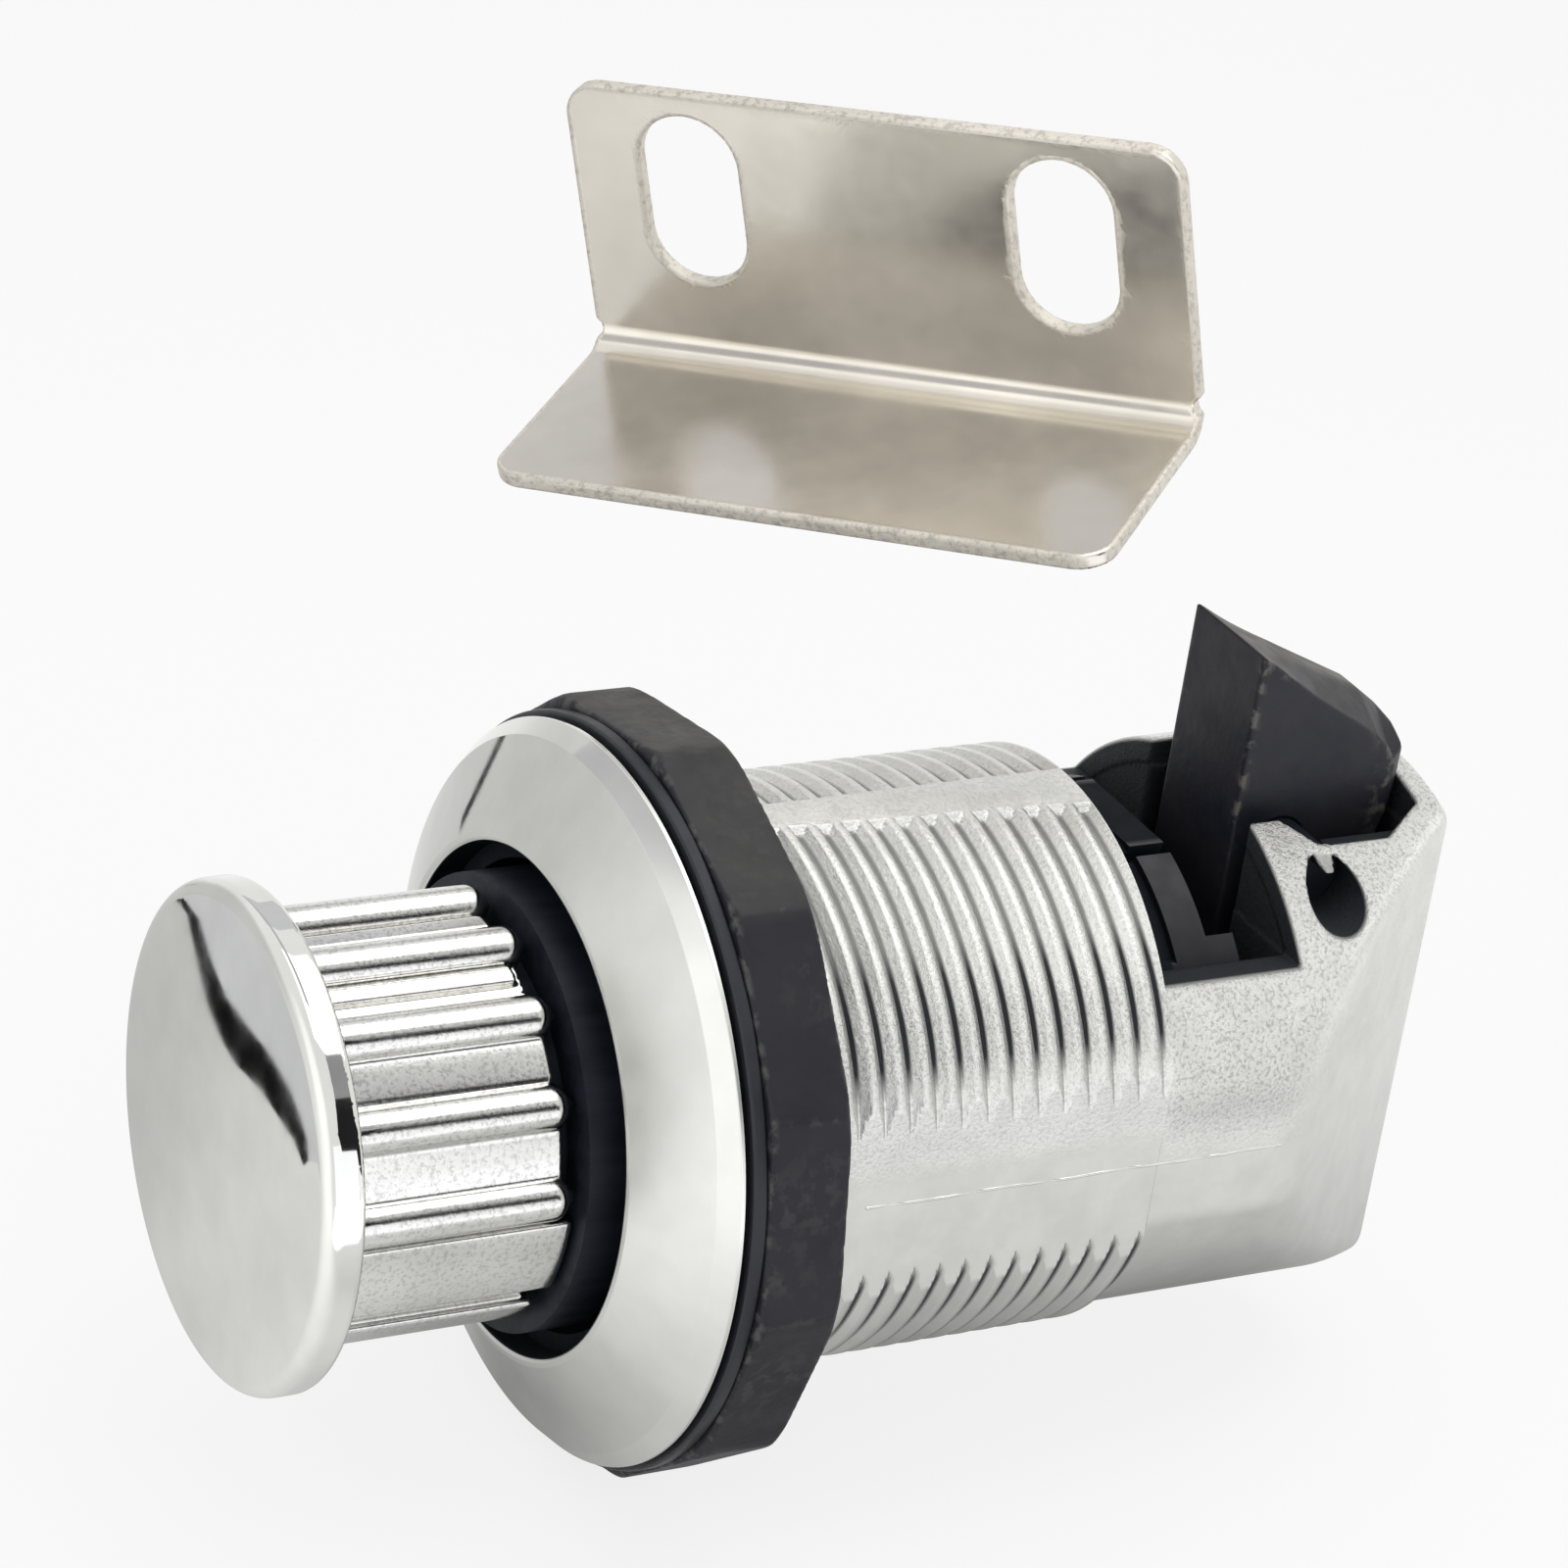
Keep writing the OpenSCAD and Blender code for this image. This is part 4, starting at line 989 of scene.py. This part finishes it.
def studio_world():
    """White to the camera, soft for the light it gives, and the surround for metal."""
    made = bpy.data.worlds.new("studio")
    made.use_nodes = True
    nodes, links = made.node_tree.nodes, made.node_tree.links
    nodes.clear()
    soft, white, mirrored = [nodes.new("ShaderNodeBackground") for _ in range(3)]
    for shader in (soft, white, mirrored):
        shader.inputs["Color"].default_value = (1, 1, 1, 1)
    soft.inputs["Strength"].default_value = 0.6
    direction = nodes.new("ShaderNodeTexCoord").outputs["Generated"]
    links.new(surround(nodes, links, direction), mirrored.inputs["Strength"])
    rays = nodes.new("ShaderNodeLightPath").outputs
    straight = shader_math(nodes, links, "MAXIMUM", rays["Is Camera Ray"], rays["Is Transmission Ray"])
    seen = mix(nodes, links, straight, soft, white)
    whole = mix(nodes, links, rays["Is Glossy Ray"], seen, mirrored)
    links.new(whole.outputs[0], nodes.new("ShaderNodeOutputWorld").inputs["Surface"])
    return made


floor_mesh = bpy.data.meshes.new("floor")
floor_corners = [(u * FLOOR_HALF, v * FLOOR_HALF, FLOOR_Z) for u, v in ((-1, -1), (1, -1), (1, 1), (-1, 1))]
floor_mesh.from_pydata(floor_corners, [], [(0, 1, 2, 3)])
floor_mesh.materials.append(floor_material())
floor = bpy.data.objects.new("floor", floor_mesh)
SCENE.collection.objects.link(floor)
SCENE.world = studio_world()


LAMPS_AIM = (12, 0, 2)


def lamp(name, place, size, power):
    data = bpy.data.lights.new(name, "AREA")
    data.shape = "RECTANGLE"
    data.size, data.size_y = size[0] * MM, size[1] * MM
    data.energy = power
    obj = bpy.data.objects.new(name, data)
    obj.location = Vector(place) * MM
    obj.rotation_euler = (Vector(LAMPS_AIM) * MM - obj.location).to_track_quat("-Z", "Y").to_euler()
    SCENE.collection.objects.link(obj)
    return obj


lamp("top", place=(70, -10, 260), size=(230, 200), power=0.2)
lamp("left", place=(-260, -40, 150), size=(150, 150), power=0.12).visible_glossy = False


def card(name, corners, shade):
    """A studio card, or a strip on the table, that only reflections see."""
    mesh = bpy.data.meshes.new(name)
    mesh.from_pydata([tuple(v * MM for v in c) for c in corners], [], [tuple(range(len(corners)))])
    obj = bpy.data.objects.new(name, mesh)
    card_paint = bpy.data.materials.new(name)
    card_paint.use_nodes = True
    nodes = card_paint.node_tree.nodes
    nodes.clear()
    even = nodes.new("ShaderNodeEmission")
    even.inputs["Color"].default_value = (shade, shade, shade * 1.05, 1)
    surface = nodes.new("ShaderNodeOutputMaterial").inputs["Surface"]
    card_paint.node_tree.links.new(even.outputs[0], surface)
    mesh.materials.append(card_paint)
    SCENE.collection.objects.link(obj)
    obj.visible_camera = obj.visible_diffuse = obj.visible_shadow = False
    obj.visible_transmission = obj.visible_volume_scatter = False
    return obj


def upright(y, outline):
    """Corners of a card that stands at one depth."""
    return [(x, y, z) for x, z in outline]


def lying(z, outline):
    """Corners of a card that lies at one height."""
    return [(x, y, z) for x, y in outline]


# Dark screen before the front cards, a pale table before it, and two dark strips on the table
SCREEN_Y, FRONT_Y, BEHIND_Y, TABLE_Z = -150, -170, 132, -18.6
card("screen", upright(SCREEN_Y, [
    (30, 80), (46, 58), (68, 33), (88, 22), (108, 20), (112, 75), (106, 84), (80, 100), (86, 140),
    (62, 140)]), 0.02)
card("upper_screen", upright(SCREEN_Y, [
    (62, 140), (86, 140), (104, 234), (132, 330), (112, 330), (84, 234)]), 0.36)
card("table", lying(TABLE_Z, [(-60, -62), (150, -62), (250, -500), (-200, -500)]), 1.45)
for name, start, stop in (("front_left", -60, 61), ("front_right", 77, 108)):
    card(name, upright(FRONT_Y, [(start, -18), (stop, -18), (stop, 75), (start, 75)]), 1.4)
strip_back = [
    (-39.4, 61.8), (-41.6, 57), (-41.2, 51), (-41.2, 46), (-42.4, 42), (-43.4, 39), (-43.7, 36),
    (-43.6, 33), (-43, 30.2), (-42.2, 27.4), (-40.8, 24.9)]
card("strip", lying(TABLE_Z, [
    (-38.3, 61.5), (-39.9, 57.5), (-39, 51), (-38.1, 45), (-38, 40), (-38.5, 37), (-40, 34),
    (-40.4, 30), (-40.6, 27.5), (-39.9, 24.4)] + strip_back[::-1]), 0.006)
card("behind_strip", lying(TABLE_Z + 0.01, strip_back + [(-50, 20), (-62, 40), (-54, 66)]), 0.74)
card("strike_screen", [(-12, -8, 27), (-12, 34, 27), (-12, 34, 41), (-12, -8, 49)], 0.6)
card("behind_strike", upright(BEHIND_Y, [(-5, 70), (60, 80), (105, 125), (105, 170), (-5, 170)]), 0.74)
card("far_strip", lying(TABLE_Z, [(-15.5, 118), (-17.5, 118), (-51, 212), (-47, 212)]), 0.02)


# Camera, as fitted to the photograph

CAMERA_AT, LENS = (-109.987, -195.480, 126.532), 127.16
yaw, pitch, roll = 0.547263, 0.453249, -0.149648
camera = bpy.data.objects.new("camera", bpy.data.cameras.new("camera"))
camera.data.sensor_width = 36
camera.data.lens = LENS
camera.data.clip_start, camera.data.clip_end = 0.01, 20
ahead = Vector((math.sin(yaw) * math.cos(pitch), math.cos(yaw) * math.cos(pitch), -math.sin(pitch)))
level = Vector((math.cos(yaw), -math.sin(yaw), 0))
down = ahead.cross(level)
right = math.cos(roll) * level + math.sin(roll) * down
below = -math.sin(roll) * level + math.cos(roll) * down
turn = Matrix((right, -below, -ahead)).transposed().to_4x4()
camera.matrix_world = Matrix.Translation(Vector(CAMERA_AT) * MM) @ turn
SCENE.collection.objects.link(camera)
SCENE.camera = camera
SCENE.view_settings.view_transform = "Standard"
